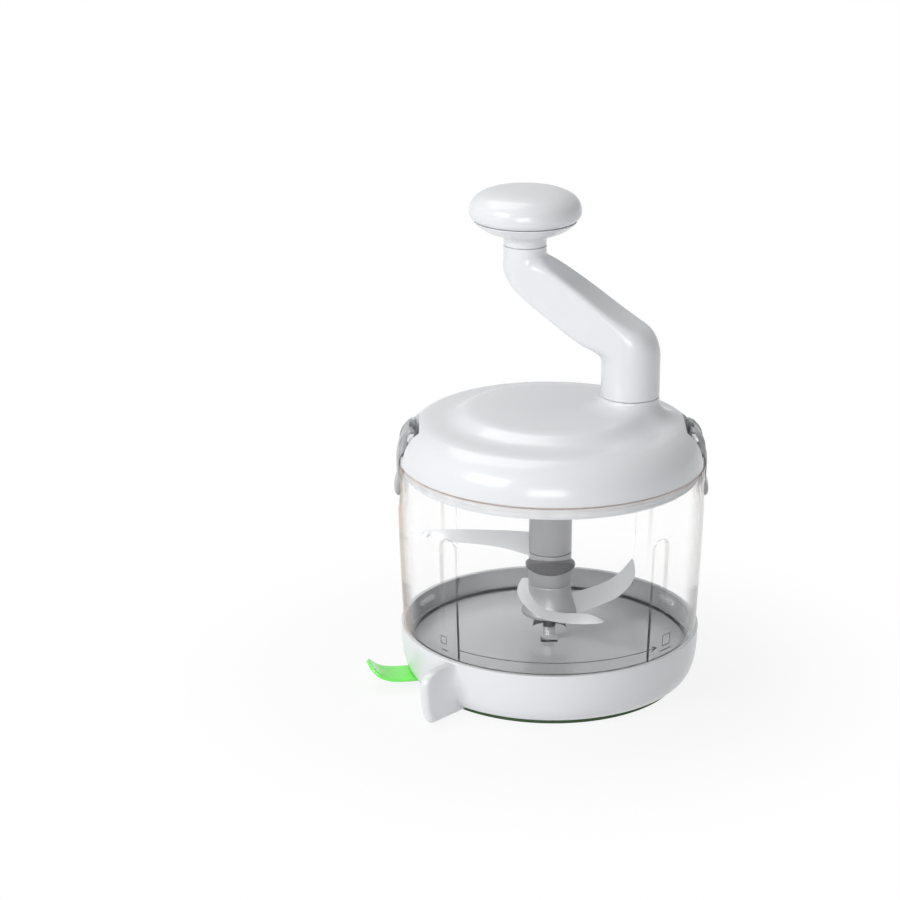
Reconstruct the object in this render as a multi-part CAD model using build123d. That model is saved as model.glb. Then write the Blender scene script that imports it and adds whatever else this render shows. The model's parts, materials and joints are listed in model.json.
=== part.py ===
from build123d import *
import os
from math import acos, cos, degrees, pi, radians, sin, tan

import numpy

# Hand-cranked food chopper. Millimetres, +Z up, the bowl axis is the Z axis, the table is z = 0.

# Driving dimensions -------------------------------------------------------------------------
BOWL_RIM_R = 73.3           # outside of the clear bowl at its rim
BOWL_MID_R = 71.7           # the same half way up
BOWL_FOOT_R = 70.1          # the same where the bowl meets the base
BOWL_WALL = 2.6
BOWL_RIM_Z = 108.9
BOWL_FLOOR_Z = 21.0         # top of the bowl floor
BASE_RIM_Z = 27.3
DECK_TOP_Z = 16.5           # deck of the base, under the bowl
DECK_LOW_Z = 14.3
DECK_R = 66.6
PAD_R = 62.3                # rubber suction pad
LID_R = 72.0
PLATEAU_Z = 134.0           # flat top of the lid
SKIRT_R = 69.5
SKIRT_LOW_Z = 102.6
CRANK_REACH = 52.5          # crank axis to knob axis
CRANK_ANGLE = 160.0         # direction of the crank arm at rest
CRANK_LOW_R = 13.8
CRANK_TOP_R = 10.2
COLLAR_TOP_Z = 138.8
ARM_LOW_Z = 139.2
ARM_TOP_Z = 206.7
KNOB_R = 26.4
KNOB_TOP_Z = 234.2
HUB_R = 10.2                # blade column
HUB_TOP_Z = 101.8
PIN_R = 3.0                 # steel spindle that carries the blade column
LATCH_HALF = 11.5           # half the width of a latch
LATCH_PIN_X = 66.5
LATCH_PIN_Z = 122.0
LEVER_ANGLE = 193.0         # direction of the suction lever at rest
LEVER_SWING = 25.0          # its travel towards the finger tab
PLUNGER_LIFT = 3.0
TAB_ANGLE = 228.0           # fixed finger tab of the base

# Gears: the large wheel on the crank drives the pinion on the blade column
MODULE = 1.5
WHEEL_TEETH = 33
PINION_TEETH = 16
PRESSURE = radians(20)
BACKLASH = 0.30
GEAR_Z = (105.4, 110.2)
CENTRES = MODULE * (WHEEL_TEETH + PINION_TEETH) / 2
WHEEL_ANGLE = 4.66          # direction of the crank axis seen from the bowl axis

RUN = 0.05                  # radial play of a shaft in its bush
SLIP = 0.3                  # gap between neighbours that move apart


def polar(radius, angle, z=None):
    """Point at a radius and an angle in degrees, on a plane or at a height."""
    x, y = radius * cos(radians(angle)), radius * sin(radians(angle))
    return (x, y) if z is None else (x, y, z)


CRANK_AXIS = polar(CENTRES, WHEEL_ANGLE)
KNOB_AXIS = tuple(c + d for c, d in zip(CRANK_AXIS, polar(CRANK_REACH, CRANK_ANGLE)))


# Shape helpers ------------------------------------------------------------------------------
def disc(radius, z0, z1, at=(0, 0)):
    """Upright cylinder between two heights."""
    return Pos(at[0], at[1], z0) * extrude(Circle(radius), amount=z1 - z0)


def tube(r_out, r_in, z0, z1, at=(0, 0)):
    """Upright tube between two heights."""
    return disc(r_out, z0, z1, at) - disc(r_in, z0 - 1, z1 + 1, at)


def block(x, y, z):
    """Box from three (low, high) pairs."""
    size = [high - low for low, high in (x, y, z)]
    centre = [(high + low) / 2 for low, high in (x, y, z)]
    return Pos(*centre) * Box(*size)


def turned(edges, at=(0, 0)):
    """Solid turned about an upright axis from an outline in (radius, height)."""
    return Pos(at[0], at[1], 0) * revolve(Plane.XZ * make_face(edges), Axis.Z)


def turned_points(points, at=(0, 0)):
    """Solid turned from a straight-sided outline."""
    return turned(Polyline(*points, close=True), at)


def slab(points, z0, z1):
    """Prism on a straight-sided plan."""
    return Pos(0, 0, z0) * extrude(make_face(Polyline(*points, close=True)), amount=z1 - z0)


def sector(r_in, r_out, z0, z1, start, end):
    """Piece of a ring between two angles of less than half a turn."""
    reach = r_out * 1.6
    middle = (start + end) / 2
    plan = [(0, 0), polar(reach, start), polar(reach, middle), polar(reach, end)]
    return tube(r_out, r_in, z0, z1) & slab(plan, z0, z1)


def ringed(shape, angles):
    """Copies of a shape turned about the bowl axis."""
    return [Rot(0, 0, angle) * shape for angle in angles]


def screw(x, y, z_head, length, head_r, shank_r, up=True):
    """Pan-head screw with a cross recess; its shank points up from the head."""
    head_h = 0.55 * head_r
    body = disc(head_r, 0, head_h) + disc(shank_r, head_h, head_h + length)
    cross = Box(1.3 * head_r, 0.7, head_h) + Box(0.7, 1.3 * head_r, head_h)
    body = chamfer(body.edges().sort_by(Axis.Z)[0], 0.3 * head_h) - cross
    return Pos(x, y, z_head) * (body if up else Rot(180, 0, 0) * body)


def involute(angle):
    """Involute function of an angle."""
    return tan(angle) - angle


def gear_plan(teeth, first_tooth):
    """Points of an involute spur gear; first_tooth is the direction of a tooth in degrees."""
    pitch_r = MODULE * teeth / 2
    base_r = pitch_r * cos(PRESSURE)
    tip_r, root_r = pitch_r + MODULE, pitch_r - 1.25 * MODULE
    half_at_pitch = pi / (2 * teeth) - BACKLASH / (4 * pitch_r)

    def half_angle(radius):
        roll = acos(min(1.0, base_r / radius))
        return half_at_pitch + involute(PRESSURE) - involute(roll)

    start_r = max(base_r, root_r)
    radii = [start_r + (tip_r - start_r) * step / 3 for step in range(4)]
    flank = [(root_r, half_angle(start_r))] + [(r, half_angle(r)) for r in radii]
    tooth = [(r, -a) for r, a in flank] + [(r, a) for r, a in reversed(flank)]
    return [polar(r, first_tooth + 360 * k / teeth + degrees(a)) for k in range(teeth)
            for r, a in tooth]


# Base with its suction foot -----------------------------------------------------------------
TONGUE_HALF = 8.5
RING_Z = (4.3, 6.4)
SLOT_Z = (4.0, 6.8)
PLATE_Z = (2.6, 4.0)
FLOOR_SCREWS = [polar(56.4, angle) for angle in (45, 160, 285)]
LUG_ANGLES = [30, 150, 270]
LUG_HALF = 5.0


def base_housing():
    """White shell: bellied wall with a ledge for the deck, lever slot, lugs and finger tab."""
    outer = Spline((PAD_R, 1.6), (67.4, 5.2), (70.6, 14.0), (71.2, BASE_RIM_Z))
    inner = Spline((DECK_R, DECK_LOW_Z), (64.6, 7.0), (61.0, 3.0))
    profile = (outer + Line((71.2, BASE_RIM_Z), (68.9, BASE_RIM_Z))
               + Line((68.9, BASE_RIM_Z), (68.9, DECK_TOP_Z)) + Line((68.9, DECK_TOP_Z), (DECK_R, DECK_TOP_Z))
               + Line((DECK_R, DECK_TOP_Z), (DECK_R, DECK_LOW_Z)) + inner + Line((61.0, 3.0), (61.0, 1.6))
               + Line((61.0, 1.6), (PAD_R, 1.6)))
    shell = turned(profile)
    swing = [LEVER_ANGLE - 8.6, LEVER_ANGLE + LEVER_SWING + 8.6]
    shell -= sector(58, 80, *SLOT_Z, *swing)
    for lug in ringed(sector(67.5, 69.5, 22.2, 24.0, -LUG_HALF, LUG_HALF), LUG_ANGLES):
        shell += lug
    shell += finger_tab()
    return shell


def base_deck():
    """Deck welded into the shell: plunger guide with its square hole, and the screw bosses."""
    deck = disc(DECK_R, DECK_LOW_Z, DECK_TOP_Z) + disc(8.2, 12.3, DECK_LOW_Z)
    deck -= block((-4.1, 4.1), (-4.1, 4.1), (10, 20))
    for spot in FLOOR_SCREWS:
        deck += tube(3.6, 1.4, PLATE_Z[1], DECK_LOW_Z, spot)
    return deck


def finger_tab():
    """Upright tab on the base wall that the lever is squeezed towards."""
    side = (Line((62.6, 1.2), (86.5, 1.2)) + ThreePointArc((86.5, 1.2), (90.2, 11), (90.6, 20))
            + ThreePointArc((90.6, 20), (88.7, 25), (83.6, 26.6)) + Line((83.6, 26.6), (69.6, 25.6))
            + Line((69.6, 25.6), (69.6, 12)) + Line((69.6, 12), (62.6, 1.2)))
    plate = extrude(Plane.XZ * make_face(side), amount=2.5, both=True)
    root = [(69.2, -8), (70.2, -8), (75.5, -2.4), (75.5, 2.4), (70.2, 8), (69.2, 8)]
    flare = slab(root, 12.0, 25.0)
    tab = fillet(plate.edges().filter_by(lambda e: e.center().X > 72), 1.2) + flare
    return Rot(0, 0, TAB_ANGLE) * tab


def base_floor_plate():
    """Bottom plate with the collar that the lever ring turns in."""
    plate = tube(60.6, 30, *PLATE_Z)
    collar = tube(50.0, 48.0 + RUN, PLATE_Z[1], 6.2)
    collar -= sector(47, 52, PLATE_Z[1], 8, LEVER_ANGLE - 11.5, LEVER_ANGLE + LEVER_SWING + 11.5)
    plate += collar
    for spot in FLOOR_SCREWS:
        plate -= disc(1.5, 0, 5, spot) + disc(2.8, 0, 3.2, spot)
    return plate - tube(53.2, 49.8, 1.0, 3.4)


def suction_pad():
    """Rubber pad: flat foot, edge bead in the plate groove, and a boss round the plunger foot."""
    pad = disc(PAD_R, 0, 1.6)
    pad += tube(53.0, 50.0, 1.6, 3.3)
    pad += disc(12.0, 1.6, 4.9)
    return pad - disc(10.3, 1.7, 3.7) - disc(6.5, 3.0, 5.5)


def suction_plunger():
    """Plunger: foot in the pad, three arms that ride on the ramps, square stem in the deck."""
    body = disc(10.0, 2.0, 3.4) + disc(6.0, 3.4, 6.8) + disc(12.0, 6.8, 9.0)
    for angle in (0, 120, 240):
        body += Rot(0, 0, angle) * block((8, 22.5), (-2.5, 2.5), (6.8, 9.0))
    return body + block((-4, 4), (-4, 4), (9.0, 13.3))


def plunger_spring():
    """Coil spring between the deck and the plunger, pushing the pad down."""
    wire, coil_r, low, high = 0.5, 9.8, 9.6, 13.7
    path = Helix(pitch=(high - low) / 3, height=high - low, radius=coil_r, center=(0, 0, low))
    return sweep(Plane(origin=path @ 0, z_dir=path % 0) * Circle(wire), path=path)


def suction_lever():
    """Green lever: ring with three ramps, and the tongue that curls up at its tip."""
    body = tube(48.0, 16.0, *RING_Z)
    run = radians(LEVER_SWING) * 20.5
    ramp = [(-2.5, 6.4), (-2.5 - run, 6.4 + PLUNGER_LIFT), (-4.5 - run, 6.4 + PLUNGER_LIFT),
            (-6.0 - run, 6.4)]
    wedge = Pos(18.5, 0, 0) * extrude(Plane.YZ * make_face(Polyline(*ramp, close=True)), amount=4.0)
    for copy in ringed(wedge, (0, 120, 240)):
        body += copy
    low = (Line((44, 4.3), (77, 4.3)) + ThreePointArc((77, 4.3), (84.6, 6.4), (89.6, 11.6)))
    high = (ThreePointArc((87.9, 13.3), (83.3, 8.5), (76.4, 6.4)) + Line((76.4, 6.4), (44, 6.4)))
    side = low + Line((89.6, 11.6), (87.9, 13.3)) + high + Line((44, 6.4), (44, 4.3))
    tongue = extrude(Plane.XZ * make_face(side), amount=TONGUE_HALF, both=True)
    plan = Pos(66, 0, 0) * RectangleRounded(48, 2 * TONGUE_HALF, 8.0)
    tongue &= extrude(plan, amount=20)
    return body + Rot(0, 0, LEVER_ANGLE) * tongue


def floor_screws():
    """Three screws that hold the floor plate to the housing."""
    return [screw(*spot, 1.7, 7, 2.6, 1.4) for spot in FLOOR_SCREWS]


# Bowl ---------------------------------------------------------------------------------------
POCKET_ROOF_Z = 100.4
POCKET_R = 69.4
RIB_ANGLES = [45, 135, 225, 315]
UNLOCK = 25.0


def bowl_outline(inset):
    """Bowl wall outline from the shoulder to the rim, moved inwards by an inset."""
    return [(BOWL_FOOT_R - inset, 27.6), (BOWL_MID_R - inset, 62.0), (BOWL_RIM_R - inset, BOWL_RIM_Z)]


def bowl():
    """Clear bowl: bellied wall, foot ring with bayonet grooves, ribs, latch pockets and post."""
    outside = bowl_outline(0)
    inside = bowl_outline(BOWL_WALL)
    profile = (Spline(*outside) + Line(outside[2], inside[2]) + Spline(*reversed(inside))
               + ThreePointArc(inside[0], (66.0, 23.0), (62.5, BOWL_FLOOR_Z))
               + Line((62.5, BOWL_FLOOR_Z), (0, BOWL_FLOOR_Z)) + Line((0, BOWL_FLOOR_Z), (0, 18.6))
               + Line((0, 18.6), (65.2, 18.6)) + Line((65.2, 18.6), (65.2, 16.9))
               + Line((65.2, 16.9), (68.6, 16.9)) + Line((68.6, 16.9), (68.6, 27.6))
               + Line((68.6, 27.6), outside[0]))
    body = turned(profile)
    for angle in RIB_ANGLES:
        body += Rot(0, 0, angle) * bowl_rib()
    for mirror in (0, 180):
        body = Rot(0, 0, mirror) * latch_pocket(Rot(0, 0, -mirror) * body)
    for angle in LUG_ANGLES:
        low, high = angle - LUG_HALF - 1, angle + UNLOCK + LUG_HALF + 1
        body -= sector(67.1, 69.2, 21.8, 24.4, low, high)
        body -= sector(67.1, 69.2, 16.0, 24.4, high - 2 * LUG_HALF - 3, high)
    body += turned_points([(0, 20), (9, 20), (9, BOWL_FLOOR_Z), (6.5, 29.0), (0, 29.0)])
    return body - disc(PIN_R, 19.6, 40)


def bowl_rib():
    """Upright rib with a round top inside the wall, pointing along +X."""
    wall = turned_points([(66.0, 21), (68.0, 21), (70.6, 86), (67.4, 86)])
    face = Pos(0, 50) * Rectangle(10, 64) + Pos(0, 81) * Circle(5)
    return wall & (Pos(60, 0, 0) * extrude(Plane.YZ * face, amount=15))


def latch_pocket(body):
    """Finger scoop below the latch on the +X side, with the ledge that the latch hooks under."""
    def scoop(depth, roof, low, half):
        side = (Line((78, roof), (depth, roof)) + Line((depth, roof), (depth, 94.5))
                + ThreePointArc((depth, 94.5), (depth + 0.7, 88.5), (72.6, low)) + Line((72.6, low), (78, low))
                + Line((78, low), (78, roof)))
        return extrude(Plane.XZ * make_face(side), amount=half, both=True)

    inner = disc(71.0, 80, 108)
    body += scoop(POCKET_R - 2.0, POCKET_ROOF_Z + 1.6, 80.5, 14.0) & inner
    body -= scoop(POCKET_R, POCKET_ROOF_Z, 83.0, 12.5)
    notch = block((60, 80), (-LATCH_HALF - 0.8, LATCH_HALF + 0.8), (POCKET_ROOF_Z, 110))
    return body - (notch - disc(71.8, 90, 112))


def bowl_spindle():
    """Steel pin set in the bowl post; the blade column turns on it."""
    pin = disc(PIN_R, 19.6, 76.0)
    return chamfer(pin.edges().sort_by(Axis.Z)[-1], 0.8)


# Lid ----------------------------------------------------------------------------------------
RECESS_HALF = LATCH_HALF + 2.4
RECESS_R = 61.0
RECESS_Z = 113.0
LID_SCREWS = [60, 120, 240, 300]
COLLAR_ZONE_R = 22.0


def lid_dome(profile):
    """Solid under a domed outline that ends on the axis."""
    low = profile[0]
    top = profile[-1]
    edges = Spline(*profile[:-1]) + Line(profile[-2], top) + Line(top, (0, low[1])) + Line((0, low[1]), low)
    return turned(edges)


def latch_recess(grow):
    """Space for the latch in the lid shoulder, on the +X side, enlarged by a wall."""
    return block((RECESS_R - grow, 90), (-RECESS_HALF - grow, RECESS_HALF + grow),
                 (RECESS_Z - grow, 160))


def lid_moulding():
    """White lid: dome with a raised round plateau, crank collar, skirt and latch recesses."""
    dome = lid_dome([(LID_R, 109.0), (71.6, 114.4), (69.4, 120.2), (65.2, 125.2), (60.0, 128.1),
                     (54.5, 128.7), (48.0, 129.6), (43.5, 132.4), (39.5, PLATEAU_Z - 0.1), (0, PLATEAU_Z)])
    hollow = lid_dome([(69.4, 108.9), (69.0, 114.0), (66.8, 119.0), (62.9, 123.1), (58.6, 125.5),
                       (53.6, 126.1), (46.4, 127.2), (42.2, 129.8), (38.5, 131.5), (0, 131.6)])
    collar = turned(Line((0, 126), (24.5, 126)) + Line((24.5, 126), (24.5, 128.8))
                    + ThreePointArc((24.5, 128.8), (16.9, 131.6), (CRANK_LOW_R, COLLAR_TOP_Z))
                    + Line((CRANK_LOW_R, COLLAR_TOP_Z), (0, COLLAR_TOP_Z))
                    + Line((0, COLLAR_TOP_Z), (0, 126)), CRANK_AXIS)
    boss = disc(10.5, 122, 130, CRANK_AXIS) + disc(7.5, 112.6, 133)
    skirt = tube(SKIRT_R, 67.2, SKIRT_LOW_Z, 109.2)
    for angle in (0, 180):
        hollow -= Rot(0, 0, angle) * latch_recess(1.6)
        dome -= Rot(0, 0, angle) * latch_recess(0)
    outer = disc(LID_R, 108.9, 109.6) - disc(69.4, 108, 110)
    shell = dome - hollow + skirt + outer + (collar & disc(70, 120, 150)) + boss
    for angle in LID_SCREWS:
        shell += tube(3.6, 1.3, 104.8, 127, polar(61.0, angle)) & disc(68, 100, 124.0)
    for angle in (0, 180):
        for side in (-1, 1):
            shell += Rot(0, 0, angle) * hinge_post(side)
    shell -= disc(7.0, 120, 140, CRANK_AXIS) + disc(8.6, 138.0, 140, CRANK_AXIS)
    return shell - disc(4.0 + RUN, 110, 119)


def collar_zone():
    """Cylinder round the crank axis; inside it the lid is the collar piece, welded into the dome."""
    return disc(COLLAR_ZONE_R, 119, 145, CRANK_AXIS)


def hinge_post(side):
    """Lug in the recess that holds one end of a latch pin, on the +X side."""
    y = side * (RECESS_HALF - 0.8)
    post = block((60.5, LATCH_PIN_X), (y - 1.0, y + 1.0), (LATCH_PIN_Z - 2.5, LATCH_PIN_Z + 2.5))
    post += Pos(LATCH_PIN_X, y, LATCH_PIN_Z) * Rot(90, 0, 0) * Cylinder(2.5, 2.0)
    return post - Pos(LATCH_PIN_X, y, LATCH_PIN_Z) * Rot(90, 0, 0) * Cylinder(1.25, 6)


def lid_underplate():
    """Disc that closes the lid from below, under the gears."""
    plate = disc(67.1, SKIRT_LOW_Z, 104.6)
    plate -= disc(9.0, 100, 106) + disc(6.5, 100, 106, CRANK_AXIS)
    for angle in LID_SCREWS:
        plate -= disc(1.5, 100, 106, polar(61.0, angle))
    return plate


def lid_gasket():
    """Sealing ring with two lips round the lid skirt."""
    return turned_points([(SKIRT_R, 104.2), (70.35, 104.0), (70.0, 105.0), (70.35, 106.0),
                          (70.0, 107.0), (70.3, 107.8), (SKIRT_R, 107.8)])


def lid_screws():
    """Screws that hold the underplate."""
    return [screw(*polar(61.0, angle), SKIRT_LOW_Z - 1.5, 9, 2.7, 1.3) for angle in LID_SCREWS]


def pinion_bush():
    """Flanged bush in the underplate for the drive pinion."""
    return disc(9.0, SKIRT_LOW_Z, 104.6) + disc(10.6, 104.6, 105.1) - disc(7.0 + RUN, 100, 106)


def crank_foot_bush():
    """Flanged bush in the underplate for the foot of the crank shaft."""
    body = disc(6.5, SKIRT_LOW_Z, 104.6, CRANK_AXIS) + disc(8.5, 104.6, 105.1, CRANK_AXIS)
    return body - disc(4.0 + RUN, 103.2, 106, CRANK_AXIS)


def crank_bush():
    """Long flanged bush in the lid collar for the crank shaft."""
    body = disc(7.0, 121.0, 138.0, CRANK_AXIS) + disc(8.6, 138.0, COLLAR_TOP_Z, CRANK_AXIS)
    return body - disc(4.0 + RUN, 120, 140, CRANK_AXIS)


def latch_pins():
    """Steel hinge pins of the two latches."""
    pin = Pos(LATCH_PIN_X, 0, LATCH_PIN_Z) * Rot(90, 0, 0) * Cylinder(1.25, 2 * RECESS_HALF)
    return ringed(pin, (0, 180))


# Latches ------------------------------------------------------------------------------------
def latch():
    """Latch on the +X side: curved cover, hinge ears, hook and flared thumb tab."""
    outside = (Spline((65.2, 127.0), (69.6, 123.4), (72.6, 117.0), (73.7, 110.5), (73.5, 104.5), (73.3, 101.8))
               + Spline((73.3, 101.8), (74.5, 99.2), (74.7, 96.4), (73.9, 93.2), (72.5, 91.2)))
    inside = (Line((72.5, 91.2), (71.4, 91.6)) + Line((71.4, 91.6), (72.2, 97.2))
              + Line((72.2, 97.2), (72.2, 97.6)) + Line((72.2, 97.6), (70.4, 97.9))
              + Line((70.4, 97.9), (70.2, 98.6)) + Line((70.2, 98.6), (70.6, 99.5))
              + Line((70.6, 99.5), (72.2, 99.7)) + Line((72.2, 99.7), (72.2, 112.0))
              + ThreePointArc((72.2, 112.0), (70.5, 118.6), (66.0, 124.8))
              + Line((66.0, 124.8), (65.2, 127.0)))
    half = LATCH_HALF
    cover = extrude(Plane.XZ * make_face(outside + inside), amount=half, both=True)
    cover &= extrude(Plane.YZ * (Pos(0, 110.5) * RectangleRounded(2 * half, 39, 4.5)), amount=100)
    for y in (-6.5, 6.5):
        ear = slab([(-2.4, -1.8), (1.0, -2.8), (4.6, -5.5), (3.4, 0.5), (0.4, 3.6), (-2.4, 1.8)], -1.2, 1.2)
        ear = Pos(LATCH_PIN_X, y, LATCH_PIN_Z) * Rot(90, 0, 0) * ear
        cover += ear
    hole = Pos(LATCH_PIN_X, 0, LATCH_PIN_Z) * Rot(90, 0, 0) * Cylinder(1.25 + RUN, 40)
    return cover - hole


# Blade column -------------------------------------------------------------------------------
BLADE_T = 1.2
SEAM_HIGH_Z = 62.4          # upper blade between hub_upper and hub_middle
SEAM_LOW_Z = 46.2
UPPER_BLADE_ANGLE = 162.5
UPPER_BLADE_PITCH = 15.0


def hub_upper():
    """Long upper sleeve of the column with the hexagonal drive socket."""
    body = disc(HUB_R, SEAM_HIGH_Z + BLADE_T / 2, HUB_TOP_Z)
    body -= disc(5.0, 60, 78.0)
    socket = Pos(0, 0, 90) * extrude(RegularPolygon(4.75, 6, major_radius=False), amount=20)
    return body - socket


def badge_layer(half_wide, half_high, bulge_r):
    """Oval on the front of the column, cut to a bulging face."""
    oval = Pos(0, 0, 56.8) * extrude(Plane.XZ * Ellipse(half_wide, half_high), amount=14)
    return oval & disc(bulge_r, 50, 64, (0, 5.0))


def hub_middle():
    """Short sleeve with the raised oval seat of the badge."""
    body = disc(HUB_R, SEAM_LOW_Z, SEAM_HIGH_Z - BLADE_T / 2)
    return body + badge_layer(11.4, 3.4, 15.0) - hub_badge() - disc(5.0, 40, 70)


def hub_badge():
    """Bare oval badge plate on the front of the column."""
    return badge_layer(11.85, 3.8, 16.2) - disc(15.0, 50, 64, (0, 5.0))


def hub_lower():
    """Flared foot of the column that holds the lower blades."""
    profile = (Line((5, 31.0), (13.4, 31.0)) + Line((13.4, 31.0), (13.4, 32.2))
               + ThreePointArc((13.4, 32.2), (10.9, 37.5), (HUB_R, SEAM_LOW_Z))
               + Line((HUB_R, SEAM_LOW_Z), (5, SEAM_LOW_Z)) + Line((5, SEAM_LOW_Z), (5, 31.0)))
    return turned(profile) - lower_blade_side() - lower_blade_front()


def hub_bushes():
    """Two bushes pressed into the column; they run on the steel pin."""
    return [tube(5.0, PIN_R + RUN, 31.0, 44.0), tube(5.0, PIN_R + RUN, 66.0, 76.0)]


def upper_blade():
    """Upper blade: wide pitched sickle with a hooked tip, on a ring round the pin."""
    front = Spline((4.0, -8.0), (21.6, -2.6), (35.0, -1.8), (50.0, -2.6))
    notch = (ThreePointArc((50.0, -2.6), (54.0, -1.6), (57.0, 0.2)) + Line((57.0, 0.2), (60.6, 0.6))
             + Line((60.6, 0.6), (62.2, -1.9)) + Line((62.2, -1.9), (65.6, 1.4)))
    back = Spline((65.6, 1.4), (63.4, 4.0), (54.6, 6.7), (32.0, 10.6), (12.0, 12.4), (2.0, 8.5))
    plan = make_face(front + notch + back + Line((2.0, 8.5), (4.0, -8.0)))
    arm = extrude(plan, amount=BLADE_T / 2, both=True)
    arm = mirror(arm, Plane.XZ)
    arm = Rot(0, 0, UPPER_BLADE_ANGLE) * (Rot(-UPPER_BLADE_PITCH, 0, 0) * arm)
    arm -= disc(HUB_R + 0.1, -20, 20)
    ring = disc(HUB_R + 0.35, -BLADE_T / 2, BLADE_T / 2)
    return Pos(0, 0, SEAM_HIGH_Z) * (ring + arm - disc(5.0, -9, 9))


def blade_section(low, high):
    """Thin four-sided section between a leading and a trailing point of a twisted blade."""
    drop = Vector(0, 0, BLADE_T)
    return make_face(Polyline(low, high, high - drop, low - drop, close=True))


def smooth_stations(points, count):
    """Evenly spaced samples of the natural cubic curve through points of any dimension.

    The second derivatives solve the three-term system of the chord lengths. A sample blends the two
    ends of its span and their bends.
    """
    knots = numpy.array(points)
    step = numpy.linalg.norm(numpy.diff(knots, axis=0), axis=1)
    walked = numpy.concatenate(([0.0], numpy.cumsum(step)))
    inner = numpy.arange(1, len(knots) - 1)
    system = numpy.eye(len(knots))
    system[inner, inner - 1] = step[:-1]
    system[inner, inner] = 2 * (step[:-1] + step[1:])
    system[inner, inner + 1] = step[1:]
    load = numpy.zeros_like(knots)
    load[1:-1] = 6 * numpy.diff(numpy.diff(knots, axis=0) / step[:, None], axis=0)
    bend = numpy.linalg.solve(system, load)
    where = numpy.linspace(0, walked[-1], count)
    span = numpy.clip(numpy.searchsorted(walked, where, side="right") - 1, 0, len(step) - 1)
    width = step[span][:, None]
    near = (walked[span + 1] - where)[:, None] / width
    far = 1 - near
    straight = near * knots[span] + far * knots[span + 1]
    return straight + ((near**3 - near) * bend[span] + (far**3 - far) * bend[span + 1]) * width**2 / 6


def twisted_blade(pairs, count):
    """Blade lofted through stations of a smooth curve that joins (leading, trailing) point pairs."""
    stations = smooth_stations([(*lead, *trail) for lead, trail in pairs], count).tolist()
    return loft([blade_section(Vector(*row[:3]), Vector(*row[3:])) for row in stations])


def lower_blade_side():
    """Lower blade that reaches to the back right and rises to its tip."""
    sections = [((10.0, -6.5, 31.8), (8.0, 5.0, 37.6)), ((24.6, 3.6, 32.6), (20.4, 10.6, 38.4)),
                ((32.6, 9.4, 34.0), (27.6, 15.4, 39.8)), ((38.6, 16.2, 36.2), (33.4, 21.6, 41.4)),
                ((42.8, 27.0, 40.8), (39.2, 31.4, 43.8)), ((42.6, 34.4, 44.2), (41.4, 35.4, 44.8))]
    return twisted_blade(sections, 9) - disc(10.0, 20, 60)


def lower_blade_front():
    """Lower blade that winds down round the left of the column and reaches to the front."""
    sections = [((-13.0, 6.5, 45.4), (-8.0, 4.0, 45.6)), ((-15.6, -1.0, 42.4), (-8.6, -0.5, 43.2)),
                ((-12.8, -9.8, 38.4), (-7.2, -5.4, 40.0)), ((-5.0, -17.2, 34.6), (-3.2, -9.2, 36.6)),
                ((6.4, -21.4, 33.4), (5.4, -12.4, 34.8)), ((15.4, -28.0, 35.6), (14.6, -18.6, 37.0)),
                ((22.6, -45.6, 43.6), (23.8, -44.2, 43.8))]
    return twisted_blade(sections, 13) - disc(9.0, 20, 60)


def drive_pinion():
    """Pinion with its journals and the hexagonal drive boss that plugs into the column."""
    body = slab(gear_plan(PINION_TEETH, WHEEL_ANGLE), *GEAR_Z)
    body += disc(7.0, 102.2, GEAR_Z[0]) + disc(4.0, GEAR_Z[1], 118.5)
    body += disc(6.0, GEAR_Z[1], 112.2)
    boss = Pos(0, 0, 92) * extrude(RegularPolygon(4.6, 6, major_radius=False), amount=11)
    return body + boss


# Crank --------------------------------------------------------------------------------------
def crank_gear():
    """Large wheel under the lid, with a hub and six lightening holes."""
    first = WHEEL_ANGLE + 180 + 180 / WHEEL_TEETH
    wheel = slab(gear_plan(WHEEL_TEETH, first), *GEAR_Z) + disc(9.0, GEAR_Z[1], 113.6)
    for k in range(6):
        wheel -= disc(4.6, 100, 112, polar(15.6, 60 * k))
    wheel -= disc(4.0, 100, 120)
    return Pos(CRANK_AXIS[0], CRANK_AXIS[1], 0) * wheel


def crank_shaft():
    """Steel shaft from the underplate up into the crank arm."""
    shaft = disc(4.0, 103.4, 158.0, CRANK_AXIS)
    return chamfer(shaft.edges().sort_by(Axis.Z)[-1], 0.6)


def gear_clip():
    """Retaining ring that holds the wheel on its shaft."""
    ring = tube(6.6, 4.0, 113.6, 114.6) - block((-1.2, 1.2), (0, 10), (113, 115))
    return Pos(CRANK_AXIS[0], CRANK_AXIS[1], 0) * ring


BEAM_SLOPE = 33.5
LEAN = Plane(origin=(0, 0, 0), x_dir=(1, 0, 0), z_dir=(0, -1, 0))


def beam_section(reach, height, width, depth):
    """Rounded rectangle square to the sloping beam of the arm."""
    along = (cos(radians(BEAM_SLOPE)), 0, sin(radians(BEAM_SLOPE)))
    return Plane(origin=(reach, 0, height), x_dir=(0, 1, 0), z_dir=along) * RectangleRounded(width, depth, 6.5)


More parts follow.
